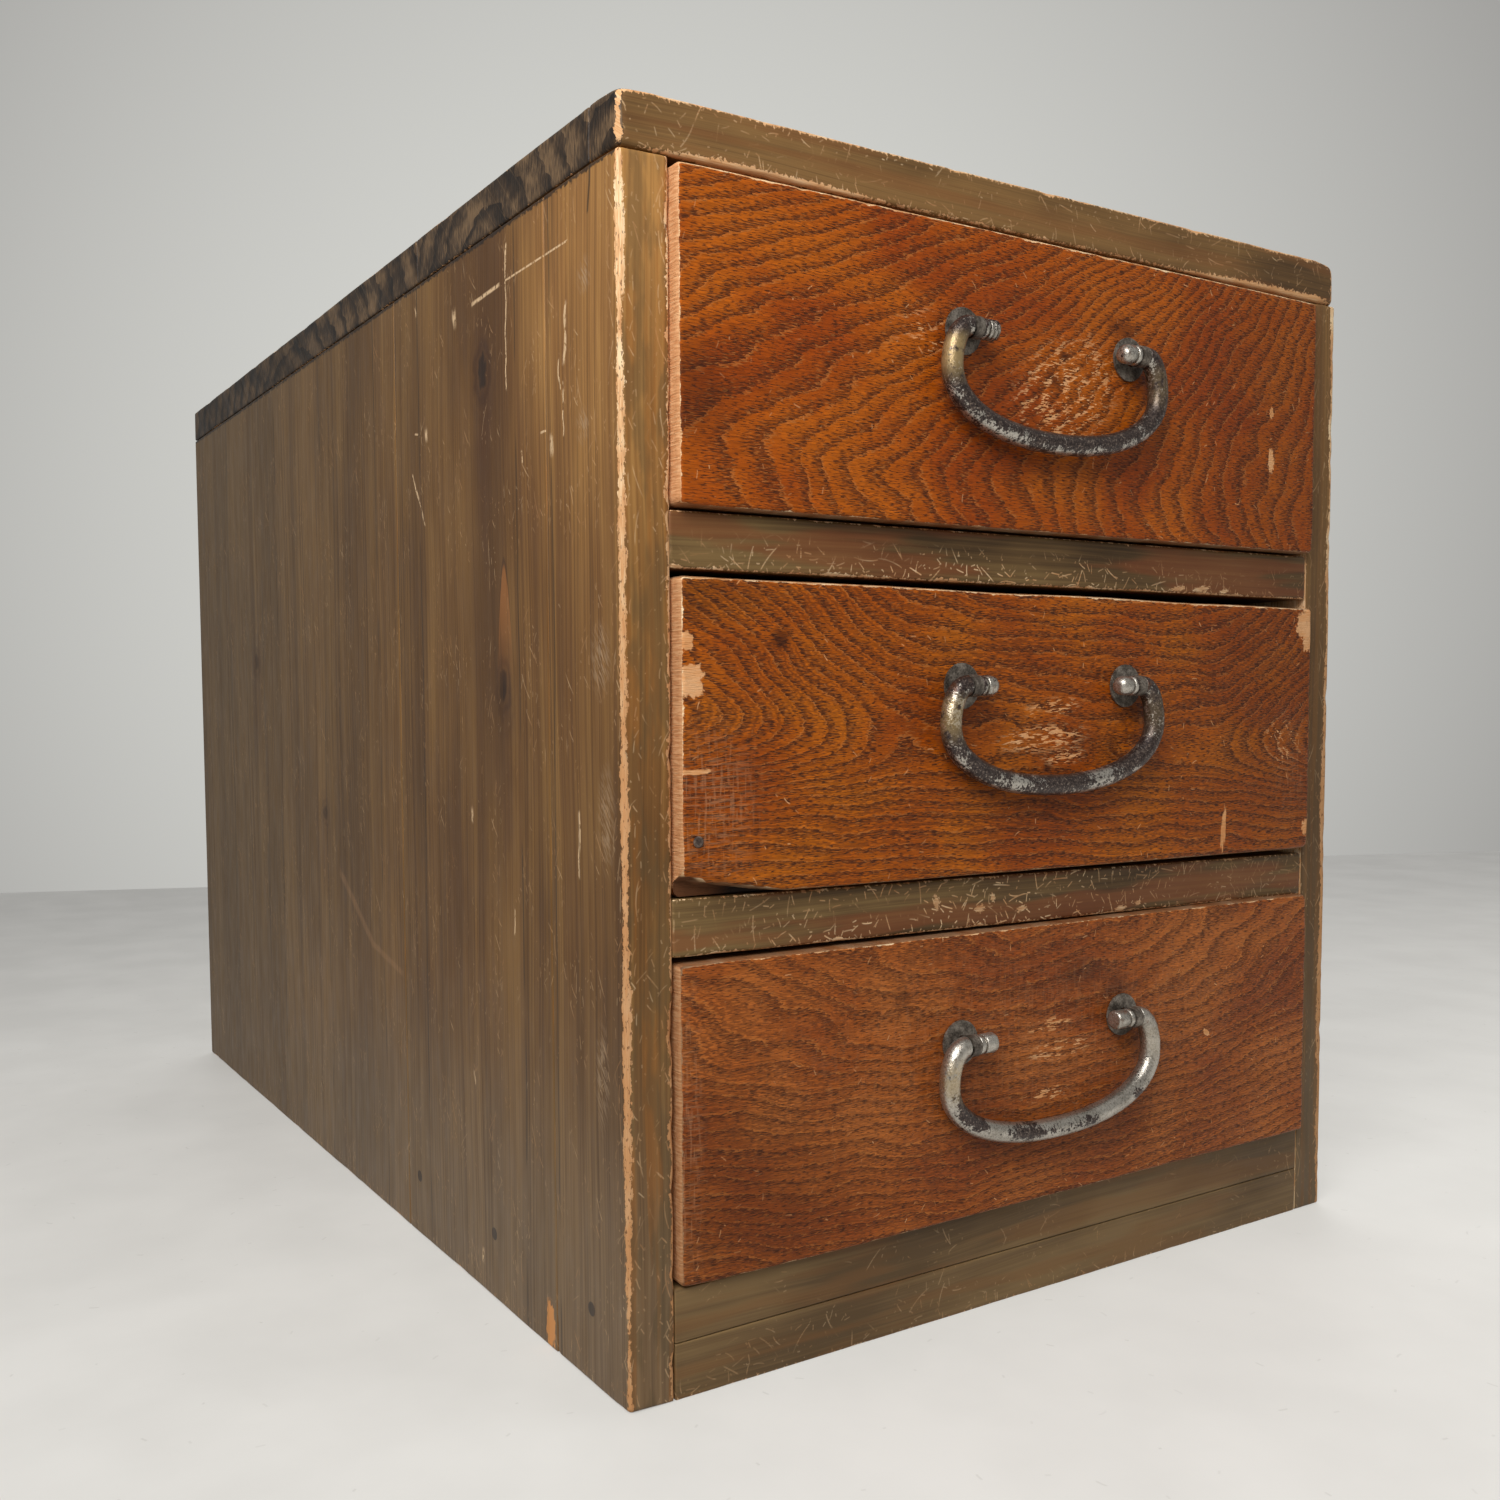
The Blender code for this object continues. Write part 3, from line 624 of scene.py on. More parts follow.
def lacquer_grain(s, u, v, look):
    """Lacquer wiped on ring-porous wood: its colour, ring phase, pale lines, early wood and pores."""
    seed = look["seed"]
    bend = (s.noise(u / 42.0, v / 20.0, seed) - 0.5) * look["bend"]
    ripple = (s.noise(u / 14.0, v / 6.0, seed + 1.0) - 0.5) * 0.35
    teeth = (s.noise(u / 2.8, v / 0.6, seed + 2.0) - 0.5) * 0.34
    rings = look["rings"](u, v) + bend + ripple + teeth
    phase = rings.math("FRACT")
    fibre = s.noise(u / 9.0, v / 0.5, seed + 3.0, detail=2.0)
    hair = s.noise(u / 2.6, v / 0.30, seed + 4.0)
    dash = fibre * 0.4 + hair * 0.6
    band = phase.rise(0.8, 0.0)
    early = (band * 0.9 + (dash - 0.5) * 5.5).rise(0.25, 0.9)
    pores = (hair + band * 0.1).rise(0.64, 0.72)
    count, share = look["lines"]
    drift = s.noise(u / 60.0, v / 16.0, seed + 6.0, detail=2.0)
    thin = abs((rings * count + drift * 4.0).math("FRACT") - 0.5).rise(0.32, 0.12)
    thin = thin * (drift * 0.5 + fibre * 0.5).rise(0.40, 0.56) * share
    line = phase.rise(0.88, 0.96) * s.noise(u / 9.0, v / 7.0, seed + 7.0).rise(0.40, 0.62)
    patch = s.noise(u / 48.0, v / 30.0, seed + 8.0, detail=3.0)
    colour = s.ramp(patch, *zip(TONE_PLACES, look["tones"]))
    colour = s.tint(colour, (fibre - 0.5) * look["fibre"] + 1.0)
    colour = s.mix(band * band * 0.18, colour, LACQUER_DARK)
    colour = s.mix((early * look["contrast"]).above(thin), colour, LACQUER_DARK)
    colour = s.mix(pores * 0.6, colour, LACQUER_PORE)
    glint = s.noise(u / 2.6, v / 0.5, seed + 5.0).rise(0.62, 0.7) * band
    colour = s.mix((line * 0.5).above(glint * 0.5), colour, LACQUER_LINE)
    return colour, phase, line, early, pores


def lacquer_stains(s, u, v, colour, look):
    """Dark smudges, some of them painted shade, and pale rubbed hazes."""
    seed = look["seed"]
    for centre, reach, strength in look["smudges_and_shade"]:
        colour = s.mix(s.soft_spot(u, v, centre, reach) * strength, colour, SMUDGE_AND_SHADE)
    upright = s.noise(u, v / 9.0, seed + 15.0, detail=2.0)
    level = s.noise(u / 8.0, v / 0.9, seed + 16.0, detail=2.0)
    fuzz = upright.above(level).rise(0.48, 0.72)
    for centre, reach, strength in look["hazes"]:
        colour = s.mix(s.soft_spot(u, v, centre, reach) * fuzz * strength, colour, HAZE)
    return colour


def lacquer(name, corner, look):
    """Worn lacquer of a drawer front; corner is the front's lowest corner, in mm."""
    s = Surface(name)
    seed = look["seed"]
    u, v = s.x, s.z - corner.z
    colour, phase, line, early, pores = lacquer_grain(s, u, v, look)
    colour = lacquer_stains(s, u, v, colour, look)
    bare = raw_wood(s, u, v, seed + 9.0)
    lifted = bare_marks(s, u, v, phase, look)
    colour = s.mix(lifted * 0.9, colour, s.mix(0.6, bare, rgb(232, 158, 96)))
    raw = peeled(s, u, v, seed + 10.0, 1.6, 2.4)
    # Bare wood set back from the front, in the middle front's lost splinter, is drawn as painted shade:
    # dark brown at the far left, nearly black further right.
    sunk = (s.y - corner.y).rise(0.8, 2.6)
    recess_shade = s.mix(u.rise(-126.0, -116.0), rgb(92, 56, 32), rgb(26, 15, 9))
    colour = s.mix(raw, colour, s.mix(sunk, bare, recess_shade))
    end_tone = s.noise(s.y / 4.0, s.z / 0.6, seed + 11.0, detail=2.0)
    end_wood = s.tint(s.ramp(end_tone, *zip(TONE_PLACES, END_TONES)), look["end_shade"])
    ends = abs(s.nx).rise(0.5, 0.75)
    colour = s.mix(ends, colour, end_wood)
    edge = s.mix(0.5, s.tint(bare, look["end_shade"] * 0.6), rgb(118, 62, 32))
    colour = s.mix(abs(s.nz).rise(0.6, 0.85) * 0.85, colour, edge)
    gloss = s.noise(u / 20.0, v / 9.0, seed + 12.0, detail=3.0)
    roughness = gloss * 0.22 + 0.30 + early * 0.1 + lifted.above(raw).above(ends) * 0.3
    normal = s.bump(line * 0.3 - early * 0.4 - pores * 0.4, 0.00016, 0.7)
    return s.finish(colour, roughness, normal, specular=0.17)


# A front's rings, tones and wear; places and reaches are in mm, from the middle of its foot.
# lines: how many thin lines each ring has and how strong they are; rim: the bare rim of its head;
# end_shade: how much its end wood, and with it its top and bottom faces, is darkened, on the bottom front
# partly as painted shade;
# scars and flecks: centre, reach and angle, and for flecks the noise above which they are torn;
# peels: centre and reach; smudges and hazes: centre, reach and strength, where the smudges are dark marks
# and the broad ones at the right end and near the left corners are painted shade
TOP_LOOK = {
    "rings": top_rings,
    "seed": 21.0,
    "tones": ORANGE,
    "bend": 1.8,
    "contrast": 0.70,
    "lines": (1.0, 0.0),
    "fibre": 1.4,
    "rim": 0.6,
    "end_shade": 0.95,
    "scars": (((110.6, 31.4), (1.6, 4.6), 0.0), ((110.4, 48.0), (1.2, 2.0), 0.0)),
    "peels": (),
    "flecks": (((8.0, 44.0), (31.0, 21.0), 30.0, 0.57), ((-50.0, 56.0), (16.0, 8.0), 0.0, 0.64)),
    "smudges_and_shade": (
        ((34.0, 67.5), (9.0, 4.0), 0.5),
        ((7.0, 55.5), (3.0, 2.0), 0.7),
        ((2.5, 47.5), (3.6, 2.2), 0.7),
        # Painted shade at the lower left corner
        ((-131.0, 30.0), (14.0, 16.0), 0.4),
        # Painted shade over the right end, away from the lamp
        ((125.0, 45.0), (70.0, 80.0), 0.22),
    ),
    "hazes": (),
}
MIDDLE_LOOK = {
    "rings": middle_rings,
    "seed": 42.0,
    "tones": AMBER,
    "bend": 1.8,
    "contrast": 0.82,
    "lines": (3.0, 0.55),
    "fibre": 1.7,
    "rim": 0.5,
    "end_shade": 0.82,
    "scars": (
        ((87.6, 8.0), (1.3, 7.5), -4.0),
        ((134.0, 6.5), (2.2, 3.2), 0.0),
        ((-131.5, 35.4), (6.0, 0.8), 0.0),
    ),
    "peels": (
        ((-134.5, 70.6), (2.8, 2.6)),
        ((-133.0, 60.0), (4.4, 4.4)),
        ((134.4, 85.5), (3.6, 4.2)),
        ((131.8, 80.5), (5.2, 4.4)),
        ((134.0, 74.5), (3.2, 3.6)),
    ),
    "flecks": (
        ((-1.0, 42.0), (24.0, 5.5), 4.0, 0.52),
        ((3.0, 51.5), (15.0, 4.0), 6.0, 0.53),
        ((8.7, 36.0), (12.0, 3.6), 4.0, 0.53),
        ((120.0, 38.0), (14.0, 12.0), -35.0, 0.64),
    ),
    "smudges_and_shade": (
        ((-103.0, 71.4), (4.0, 3.2), 0.75),
        ((1.5, 33.0), (2.6, 2.4), 0.7),
        # Painted shade at the upper left corner
        ((-136.0, 84.0), (34.0, 10.0), 0.35),
        # Painted shade over the right end, away from the lamp
        ((125.0, 45.0), (70.0, 80.0), 0.24),
    ),
    "hazes": (((-126.0, 26.0), (17.0, 24.0), 0.3), ((126.0, 30.0), (14.0, 24.0), 0.12)),
}
BOTTOM_LOOK = {
    "rings": bottom_rings,
    "seed": 63.0,
    "tones": RUSSET,
    "bend": 2.6,
    "contrast": 0.64,
    "lines": (4.0, 0.55),
    "fibre": 1.6,
    "rim": 0.05,
    "end_shade": 0.66,
    "scars": (((80.0, 44.0), (2.0, 1.0), -30.0),),
    "peels": (),
    "flecks": (
        ((8.0, 48.0), (18.0, 4.0), 2.0, 0.54),
        ((1.5, 34.0), (13.0, 3.0), 2.0, 0.545),
        ((3.0, 56.5), (14.0, 3.0), 2.0, 0.56),
    ),
    "smudges_and_shade": (
        ((18.0, 72.0), (12.0, 6.0), 0.5),
        ((34.0, 65.0), (7.0, 6.0), 0.5),
        ((-58.0, 72.0), (4.0, 6.0), 0.3),
        ((-130.0, 20.0), (60.0, 36.0), 0.3),
    ),
    "hazes": (((-133.0, 40.0), (5.0, 50.0), 0.25), ((0.0, 55.0), (120.0, 40.0), 0.1)),
}


def top_ends(s, seed, pith_y, pith_z):
    """Rings and saw marks on the ends of the top: their colour and height."""
    y, z = s.y, s.z
    wobble = (s.noise(y / 14.0, z / 8.0, seed, detail=2.0) - 0.5) * 9.0
    radius = (y - pith_y).hypot(z - pith_z) + wobble
    late = (radius / 12.0).math("FRACT").rise(0.35, 0.95)
    saw = s.noise(y / 0.7, z / 4.0, seed + 2.0, detail=2.0)
    cloud = s.noise(y / 24.0, z / 12.0, seed + 3.0, detail=3.0)
    tone = late * 0.11 + saw * 0.34 + cloud * 0.46 + 0.07 - y.rise(-120.0, -230.0) * 0.04
    colour = s.ramp(tone, (0.36, rgb(112, 88, 62)), (0.50, rgb(60, 45, 31)), (0.62, rgb(30, 22, 16)))
    inked = late.rise(0.7, 0.95) * s.noise(y / 20.0, z / 30.0, seed + 4.0).rise(0.5, 0.65)
    colour = s.mix(inked * 0.6, colour, rgb(24, 18, 14))
    return s.tint(colour, 1.0 - y.rise(-120.0, 200.0) * 0.4), saw * 0.8 - late * 0.15


def top_wood(name, seed, pith_y, pith_z):
    """Stained boards of the top: grain from left to right, with rings on both ends."""
    s = Surface(name)
    along, across = s.x, s.z - s.y
    colour, height = stain_tones(s, along, across, seed, TOP_TONES, 0.12)
    colour = growth_lines(s, along, across, seed, colour, TOP_TONES[0], 0.15)
    streak = s.noise(along / 90.0, across / 6.0, seed + 6.0, detail=2.0).rise(0.46, 0.66)
    colour = s.mix(streak * 0.4, colour, rgb(126, 78, 40))
    end_wood, ridges = top_ends(s, seed, pith_y, pith_z)
    ends = abs(s.nx).rise(0.25, 0.45)
    colour = s.mix(ends, colour, end_wood)
    bare = raw_wood(s, along, across, seed + 11.0)
    lifted = scuffs(s, along, across, seed + 20.0, math.tau) * (0.75 - ends * 0.6)
    colour = s.mix(lifted, colour, s.mix(0.35, bare, colour))
    raw = peeled(s, along, across, seed + 12.0, 3.4, 1.3)
    colour = s.mix(raw, colour, s.mix(0.5, bare, rgb(204, 148, 96)))
    gloss = s.noise(along / 18.0, across / 5.0, seed + 14.0, detail=3.0)
    roughness = gloss * 0.25 + 0.40 + raw * 0.3
    normal = s.bump(height * 0.35 - raw * 0.5 + ends * ridges, 0.00025, 0.7)
    return s.finish(colour, roughness, normal, specular=0.26)


def bare_wood(name, grain, seed):
    """Unfinished inner boards, browned with age."""
    s = Surface(name)
    if grain == "y":
        along, across = s.y, s.x + s.z
    else:
        along, across = s.x, s.z - s.y
    colour, height = stain_tones(s, along, across, seed, BARE_TONES, 0.30)
    colour = growth_lines(s, along, across, seed, colour, BARE_TONES[0], 0.4)
    grime = s.solid_noise(60.0, seed + 5.0, detail=4.0, roughness=0.65).rise(0.48, 0.7)
    colour = s.mix(grime * 0.4, colour, rgb(112, 84, 56))
    return s.finish(colour, 0.72, s.bump(height, 0.00025, 0.6), specular=0.25)


# Metals
def iron(name, eye_z, look):
    """Dark patina on the bails, rubbed to steel where hands and the drawer front touch it, with a brassy
    tint on the arms that is partly painted highlight.
    """
    s = Surface(name)
    u, w = s.x, s.z - eye_z
    seed = look["seed"]
    grain = s.solid_noise(0.6, 1.0, roughness=0.65)
    cloud = s.solid_noise(9.0, 2.0 + seed)
    spots = s.solid_noise(2.2, 3.0 + seed, detail=4.0, roughness=0.65)
    low = s.nz.rise(0.3, -0.8)
    knob = abs(u).rise(34.0, 32.5) * w.rise(-9.0, -5.0)
    share = (spots - 0.5) * 1.5 + (cloud - 0.5) * 1.1 + (grain - 0.5) * 1.1
    share = share + low * look["underside"] + knob * 0.5 + look["silver"]
    for centre, reach, change in look["patches"]:
        share = share + s.soft_spot(u, w, centre, reach) * (1.0 - low * 0.8) * change
    bright = share.rise(-0.06, 0.1)
    arm = w.rise(-1.0, -6.0) * w.rise(-19.0, -10.0) * (u.rise(-34.0, -43.0) + u.rise(34.0, 43.0) * 0.25)
    patina = s.ramp(grain, (0.34, rgb(38, 29, 27)), (0.52, rgb(66, 54, 50)), (0.68, rgb(124, 109, 98)))
    steel = s.ramp(grain * 0.6 + cloud * 0.4, (0.36, rgb(132, 125, 114)), (0.62, rgb(198, 192, 182)))
    colour = s.mix(bright, patina, steel)
    colour = s.mix(grain.rise(0.6, 0.68) * 0.35, colour, rgb(168, 152, 132))
    # A brassy tint on the arms, strongest on the left ones: partly the metal's tone, partly a painted
    # highlight where the lamp at the left catches them.
    arm = arm * spots.rise(0.34, 0.5)
    colour = s.mix(arm * look["brass_and_highlight"], colour, rgb(206, 175, 118))
    rust = s.solid_noise(3.0, 9.0 + seed).rise(0.55, 0.7) * abs(w + 0.5).rise(5.0, 1.0)
    colour = s.mix(rust * 0.5, colour, rgb(104, 66, 42))
    roughness = grain * 0.3 + 0.18 - bright * 0.03
    return s.finish(colour, roughness, s.bump(grain, 0.00018, 0.7), bright * 0.35 + 0.5)


def dull_metal(name, dark, mid, light, metallic, rough, specular=0.5):
    """Thin plates, split eyes and nails."""
    s = Surface(name)
    grain = s.noise(s.x / 0.6, s.z / 0.6, 1.0, detail=3.0)
    cloud = s.noise(s.x / 3.0, s.z / 3.0, 2.0, detail=3.0)
    colour = s.ramp(grain * 0.4 + cloud * 0.6, (0.36, dark), (0.5, mid), (0.64, light))
    return s.finish(colour, grain * 0.3 + rough, s.bump(grain, 0.00008, 0.6), metallic, specular)


# Meshes
def cuts(low, high, step):
    """Places along one axis of a board: close together near both ends, then even."""
    scale = min(1.0, (high - low) * 0.45 / EDGE_CUTS[-1])
    near = [cut * scale for cut in EDGE_CUTS]
    start, stop = low + near[-1], high - near[-1]
    count = max(1, round((stop - start) / step))
    middle = [start + (stop - start) * i / count for i in range(1, count)]
    return [low + n for n in near] + middle + [high - n for n in reversed(near)]


def box_skin(axes, plain):
    """Points and faces of a box that is cut at these places; a side named in plain stays one face."""
    points, index, faces = [], {}, []

    def point(key):
        if key not in index:
            index[key] = len(points)
            points.append(Vector([axes[a][key[a]] for a in range(3)]))
        return index[key]

    for axis in range(3):
        b, c = (axis + 1) % 3, (axis + 2) % 3
        nb, nc = len(axes[b]) - 1, len(axes[c]) - 1
        for sign in "-+":
            end = 0 if sign == "-" else len(axes[axis]) - 1

            def at(i, j):
                key = [0, 0, 0]
                key[axis], key[b], key[c] = end, i, j
                return point(tuple(key))

            if sign + "xyz"[axis] in plain:
                rim = [at(i, 0) for i in range(nb)] + [at(nb, j) for j in range(nc)]
                rim += [at(i, nc) for i in range(nb, 0, -1)] + [at(0, j) for j in range(nc, 0, -1)]
                loops = [rim]
            else:
                squares = [(i, j) for i in range(nb) for j in range(nc)]
                loops = [[at(i, j), at(i + 1, j), at(i + 1, j + 1), at(i, j + 1)] for i, j in squares]
            faces += [loop if sign == "+" else loop[::-1] for loop in loops]
    return points, faces


def edge_sides(name):
    """The two sides that an edge name such as "-x-y" joins, as (axis, which end)."""
    return [("xyz".index(name[i + 1]), name[i] == "+") for i in (0, 2)]


def wear(points, low, high, base, worn, seed):
    """Rounds a box's edges, more where an edge is worn.

    worn gives for an edge the radius and chips to add, in metres, and the width of its bare rim, in mm.
    Returns how far inside a bare rim each point is, in mm.
    """
    limits = (low, high)
    limit = 0.45 * min(high - low)
    shift = Vector((seed * 3.7, seed * 1.3, seed * 2.1))
    peel = []
    for p in points:
        swell = 0.85 + 0.75 * noise.noise(p / SWELL_LENGTH - shift)
        nick = max(0.0, noise.noise(p / CHIP_LENGTH + shift) - 0.1)
        radius = base * (1.0 + 0.5 * noise.noise(p / SWELL_LENGTH + shift))
        bare = UNPEELED
        for name, (size, chip, rim) in worn.items():
            off = math.hypot(*[p[axis] - limits[end][axis] for axis, end in edge_sides(name)])
            near = max(0.0, 1.0 - off / WEAR_REACH)
            radius = max(radius, base + near * (size * swell + chip * nick))
            bare = max(bare, rim * swell + chip * nick / MM - off / MM)
        radius = min(radius, limit)
        core = Vector([min(max(p[a], low[a] + radius), high[a] - radius) for a in range(3)])
        out = p - core
        if out.length > NO_LENGTH:
            p[:] = core + out.normalized() * radius
        peel.append(bare)
    return peel


def make_piece(name, points, faces, material, body, peel=None):
    """Adds a mesh piece in the row frame that rides on a body."""
    mesh = bpy.data.meshes.new(name)
    mesh.from_pydata(points, [], faces)
    mesh.update()
    mesh.shade_smooth()
    if peel is not None:
        layer = mesh.attributes.new("peel", "FLOAT", "POINT")
        layer.data.foreach_set("value", peel)
    mesh.materials.append(material)
    piece = bpy.data.objects.new(name, mesh)
    bpy.context.scene.collection.objects.link(piece)
    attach(piece, body)
    return piece


def board(node, body, slot, material, worn, plain, step, base=BOARD_RADIUS, shape=None, seed=1.0):
    """Replaces a CAD board by one with softened, worn edges, cut about every step metres."""
    low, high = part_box(node)
    axes = [cuts(low[a], high[a], step) for a in range(3)]
    points, faces = box_skin(axes, plain)
    peel = wear(points, low, high, base, dict(worn), seed)
    if shape:
        peel = [max(bare, shape(p, low, high)) for bare, p in zip(peel, points)]
    piece = make_piece(node + "_look", points, faces, material, body, peel)
    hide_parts(node)
    return piece


# Case
SIDE_WOOD = stained("side_wood", "z", 2.0, SIDE_TONES, (rgb(104, 66, 34), 0.16), 0.5, side_marks)
RAIL_BLUSH = (rgb(130, 70, 36), 0.5)
RAIL_WOOD = stained("rail_wood", "x", 5.0, RAIL_TONES, RAIL_BLUSH, 1.3, rail_marks, rail_knocks)
BASE_WOOD = stained("base_wood", "x", 6.0, BASE_TONES, (rgb(124, 84, 46), 0.4), 0.45)
BACK_WOOD = stained("back_wood", "x", 8.0, BACK_TONES, (rgb(104, 76, 48), 0.4), 0.3)
TOP_WOODS = {
    "top_front_strip": top_wood("top_strip_wood", 11.0, -236.0, 318.0),
    "top_board_front": top_wood("top_front_wood", 13.0, -146.0, 322.0),
    "top_board_rear": top_wood("top_rear_wood", 15.0, 60.0, 300.0),
}
BARE = {grain: bare_wood("bare_wood_" + grain, grain, seed) for grain, seed in (("x", 3.0), ("y", 6.0))}

RAIL_DROP_TOP = 0.0160
RAIL_DROP_FOOT = 0.0128
RAIL_LIFT = 0.0006
STILE_SPREAD = 0.0011
SEAM_RADIUS = 0.0002

# Width of the bare rim under the strip at places along it, in mm
STRIP_RIM = (
    (-152.0, 0.0),
    (-136.0, 1.0),
    (-120.0, 2.0),
    (-85.0, 1.6),
    (-60.0, 0.6),
    (60.0, 0.6),
    (100.0, 1.9),
    (140.0, 2.2),
    (152.0, 0.6),
)


def tilt_lower_rail(p, low, high):
    """The lower rail stands a little askew, lower at its right end."""
    up = (p.z - low.z) / (high.z - low.z)
    p.z -= p.x * (RAIL_DROP_FOOT + (RAIL_DROP_TOP - RAIL_DROP_FOOT) * up) + RAIL_LIFT
    return UNPEELED


def spread_stile(p, low, high):
    """The left stile is a little wider at its head."""
    inward = (p.x - low.x) / (high.x - low.x)
    p.x += STILE_SPREAD * inward * p.z / high.z
    return UNPEELED


def strip_rim(p, low, _high):
    """The bare rim under the strip, wide near both ends."""
    x = p.x / MM
    for (x0, w0), (x1, w1) in zip(STRIP_RIM, STRIP_RIM[1:]):
        if x0 <= x <= x1:
            width = w0 + (w1 - w0) * (x - x0) / (x1 - x0)
            return width - math.hypot(p.y - low.y, p.z - low.z) / MM
    return UNPEELED


# Wear of edges, as wear() takes it
LEFT_WEAR = {
    "-x-y": (0.0012, 0.0014, 1.45),
    "-x-z": (0.0006, 0.0016, 0.2),
    "+x-y": (0.0002, 0.0022, 0.9),
}
RIGHT_WEAR = {
    "+x-y": (0.0004, 0.0018, 3.0),
    "-x-y": (0.0005, 0.0020, -0.4),
    "+x-z": (0.0006, 0.0016, 0.2),
}
FOOT_WEAR = (0.0005, 0.0014, 0.2)
TOP_END_WEAR = {
    "-x+z": (0.0005, 0.0012, -0.2),
    "+x+z": (0.0008, 0.0014, 0.0),
    "-x-z": (0.0002, 0.0012, -0.5),
}
STRIP_WEAR = {
    "-y-z": (0.0007, 0.0016, -0.6),
    "-y+z": (0.0006, 0.0014, 0.7),
    "-x-y": (0.0020, 0.0014, 1.0),
    "+x-y": (0.0036, 0.0014, 3.0),
}
FINE_STEP = 0.0035


def build_side(side, outer, inner, front_worn, shape, step, seed):
    """The three boards of one side; outer and inner name its two faces."""
    wood = ("case", "case_wood", SIDE_WOOD)
    board(side + "_side_board_front", *wood, front_worn, (inner,), FINE_STEP, shape=shape, seed=seed)
    for part in ("middle", "rear"):
        worn = {outer + "-z": FOOT_WEAR}
        board(f"{side}_side_board_{part}", *wood, worn, (inner,), step, seed=seed + 1.0)


def build_top():
    node = "top_front_strip"
    worn = {**STRIP_WEAR, **TOP_END_WEAR}
    board(node, "case", "top_wood", TOP_WOODS[node], worn, (), FINE_STEP, shape=strip_rim, seed=5.0)
    for node in ("top_board_front", "top_board_rear"):
        rear = {"+y+z": (0.0010, 0.0016, 0.2)} if node.endswith("rear") else {}
        worn = {**TOP_END_WEAR, **rear}
        board(node, "case", "top_wood", TOP_WOODS[node], worn, ("-z",), 0.007, seed=6.0)


def build_rails():
    rail = {"-y-z": (0.0004, 0.0016, 0.3), "-y+z": (0.0002, 0.0010, 0.0)}
    wood = ("case", "case_wood", RAIL_WOOD)
    board("divider_rail_upper", *wood, rail, ("+y",), FINE_STEP, seed=7.0)
    board("divider_rail_lower", *wood, rail, ("+y",), FINE_STEP, shape=tilt_lower_rail, seed=8.0)
    wood = ("case", "case_wood", BASE_WOOD)
    board("bottom_board", *wood, (), ("-z", "+z"), 0.006, SEAM_RADIUS, seed=9.0)
    foot = {"-y-z": (0.0003, 0.0008, 0.0)}
    board("base_rail_front", *wood, foot, ("+y",), 0.005, SEAM_RADIUS, seed=10.0)
    for node in ("back_board_lower", "back_board_upper"):
        worn = {"+y+z": (0.0004, 0.001, 0.0)}
        board(node, "case", "case_wood", BACK_WOOD, worn, ("-y",), 0.009, seed=11.0)


# Drawers
DRAWERS = {"top": TOP_LOOK, "middle": MIDDLE_LOOK, "bottom": BOTTOM_LOOK}
MIDDLE_FOOT_SLOPE = 0.0095
BOTTOM_HEAD_SLOPE = 0.005
BOTTOM_SETBACK = 0.0018
BOTTOM_SETBACK_REACH = 0.080
LOSS_HEIGHT = 0.0054
LOSS_LENGTH = 0.036
LOSS_DEPTH = 0.0050
LOSS_SLOPE = 0.0006
LOSS_BARE = 3.0
HEAD_LIFT = 0.0013
HEAD_SLOPE = 0.0058
HEAD_WAVE = 0.0004
HEAD_WAVE_LENGTH = 0.045


def shape_middle_front(p, low, high):
    """The middle front follows the askew rail below it and lacks a splinter at its lower left corner."""
    lift = p.z - low.z
    loss = LOSS_HEIGHT * (1.0 - (p.x - low.x) / LOSS_LENGTH) - lift
    up = lift / (high.z - low.z)
    p.z -= p.x * MIDDLE_FOOT_SLOPE * (1.0 - up)
    wave = HEAD_WAVE * noise.noise(Vector((p.x / HEAD_WAVE_LENGTH, 0.0, 0.0)))
    p.z += up * (HEAD_LIFT - p.x * HEAD_SLOPE + wave)
    if loss <= 0.0:
        return UNPEELED
    p.y = max(p.y, low.y + LOSS_DEPTH * min(1.0, loss / LOSS_SLOPE))
    return LOSS_BARE


def tilt_bottom_front(p, low, high):
    """The bottom front follows the askew rail above it and lies back at its left end."""
    up = (p.z - low.z) / (high.z - low.z)
    p.z -= p.x * BOTTOM_HEAD_SLOPE * up
    aside = max(0.0, 1.0 - (p.x - low.x) / BOTTOM_SETBACK_REACH)
    p.y += BOTTOM_SETBACK * aside * aside * (high.y - p.y) / (high.y - low.y)
    return UNPEELED


FRONT_SHAPES = {"top": None, "middle": shape_middle_front, "bottom": tilt_bottom_front}
FRONT_WEAR = {
    "-x-y": (0.0004, 0.0012, 0.5),
    "+x-y": (0.0004, 0.0014, 0.2),
    "-y-z": (0.0003, 0.0008, 0.0),
    "-x-z": (0.0014, 0.0006, 0.0),
    "-x+z": (0.0010, 0.0006, 0.0),
    "+x-z": (0.0012, 0.0006, 0.0),
    "+x+z": (0.0010, 0.0006, 0.0),
}
HEAD_WEAR = (0.0003, 0.0010)
FRONT_STEP = 0.0026
FRONT_RADIUS = 0.0009


def build_drawer(level, look):
    node = level + "_drawer_front"
    material = lacquer(level + "_lacquer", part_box(node)[0] / MM, look)
    worn = {**FRONT_WEAR, "-y+z": (*HEAD_WEAR, look["rim"])}
    finish = ("drawer_lacquer", material, worn, ("+y",), FRONT_STEP, FRONT_RADIUS)
    board(node, level + "_drawer", *finish, FRONT_SHAPES[level], look["seed"])


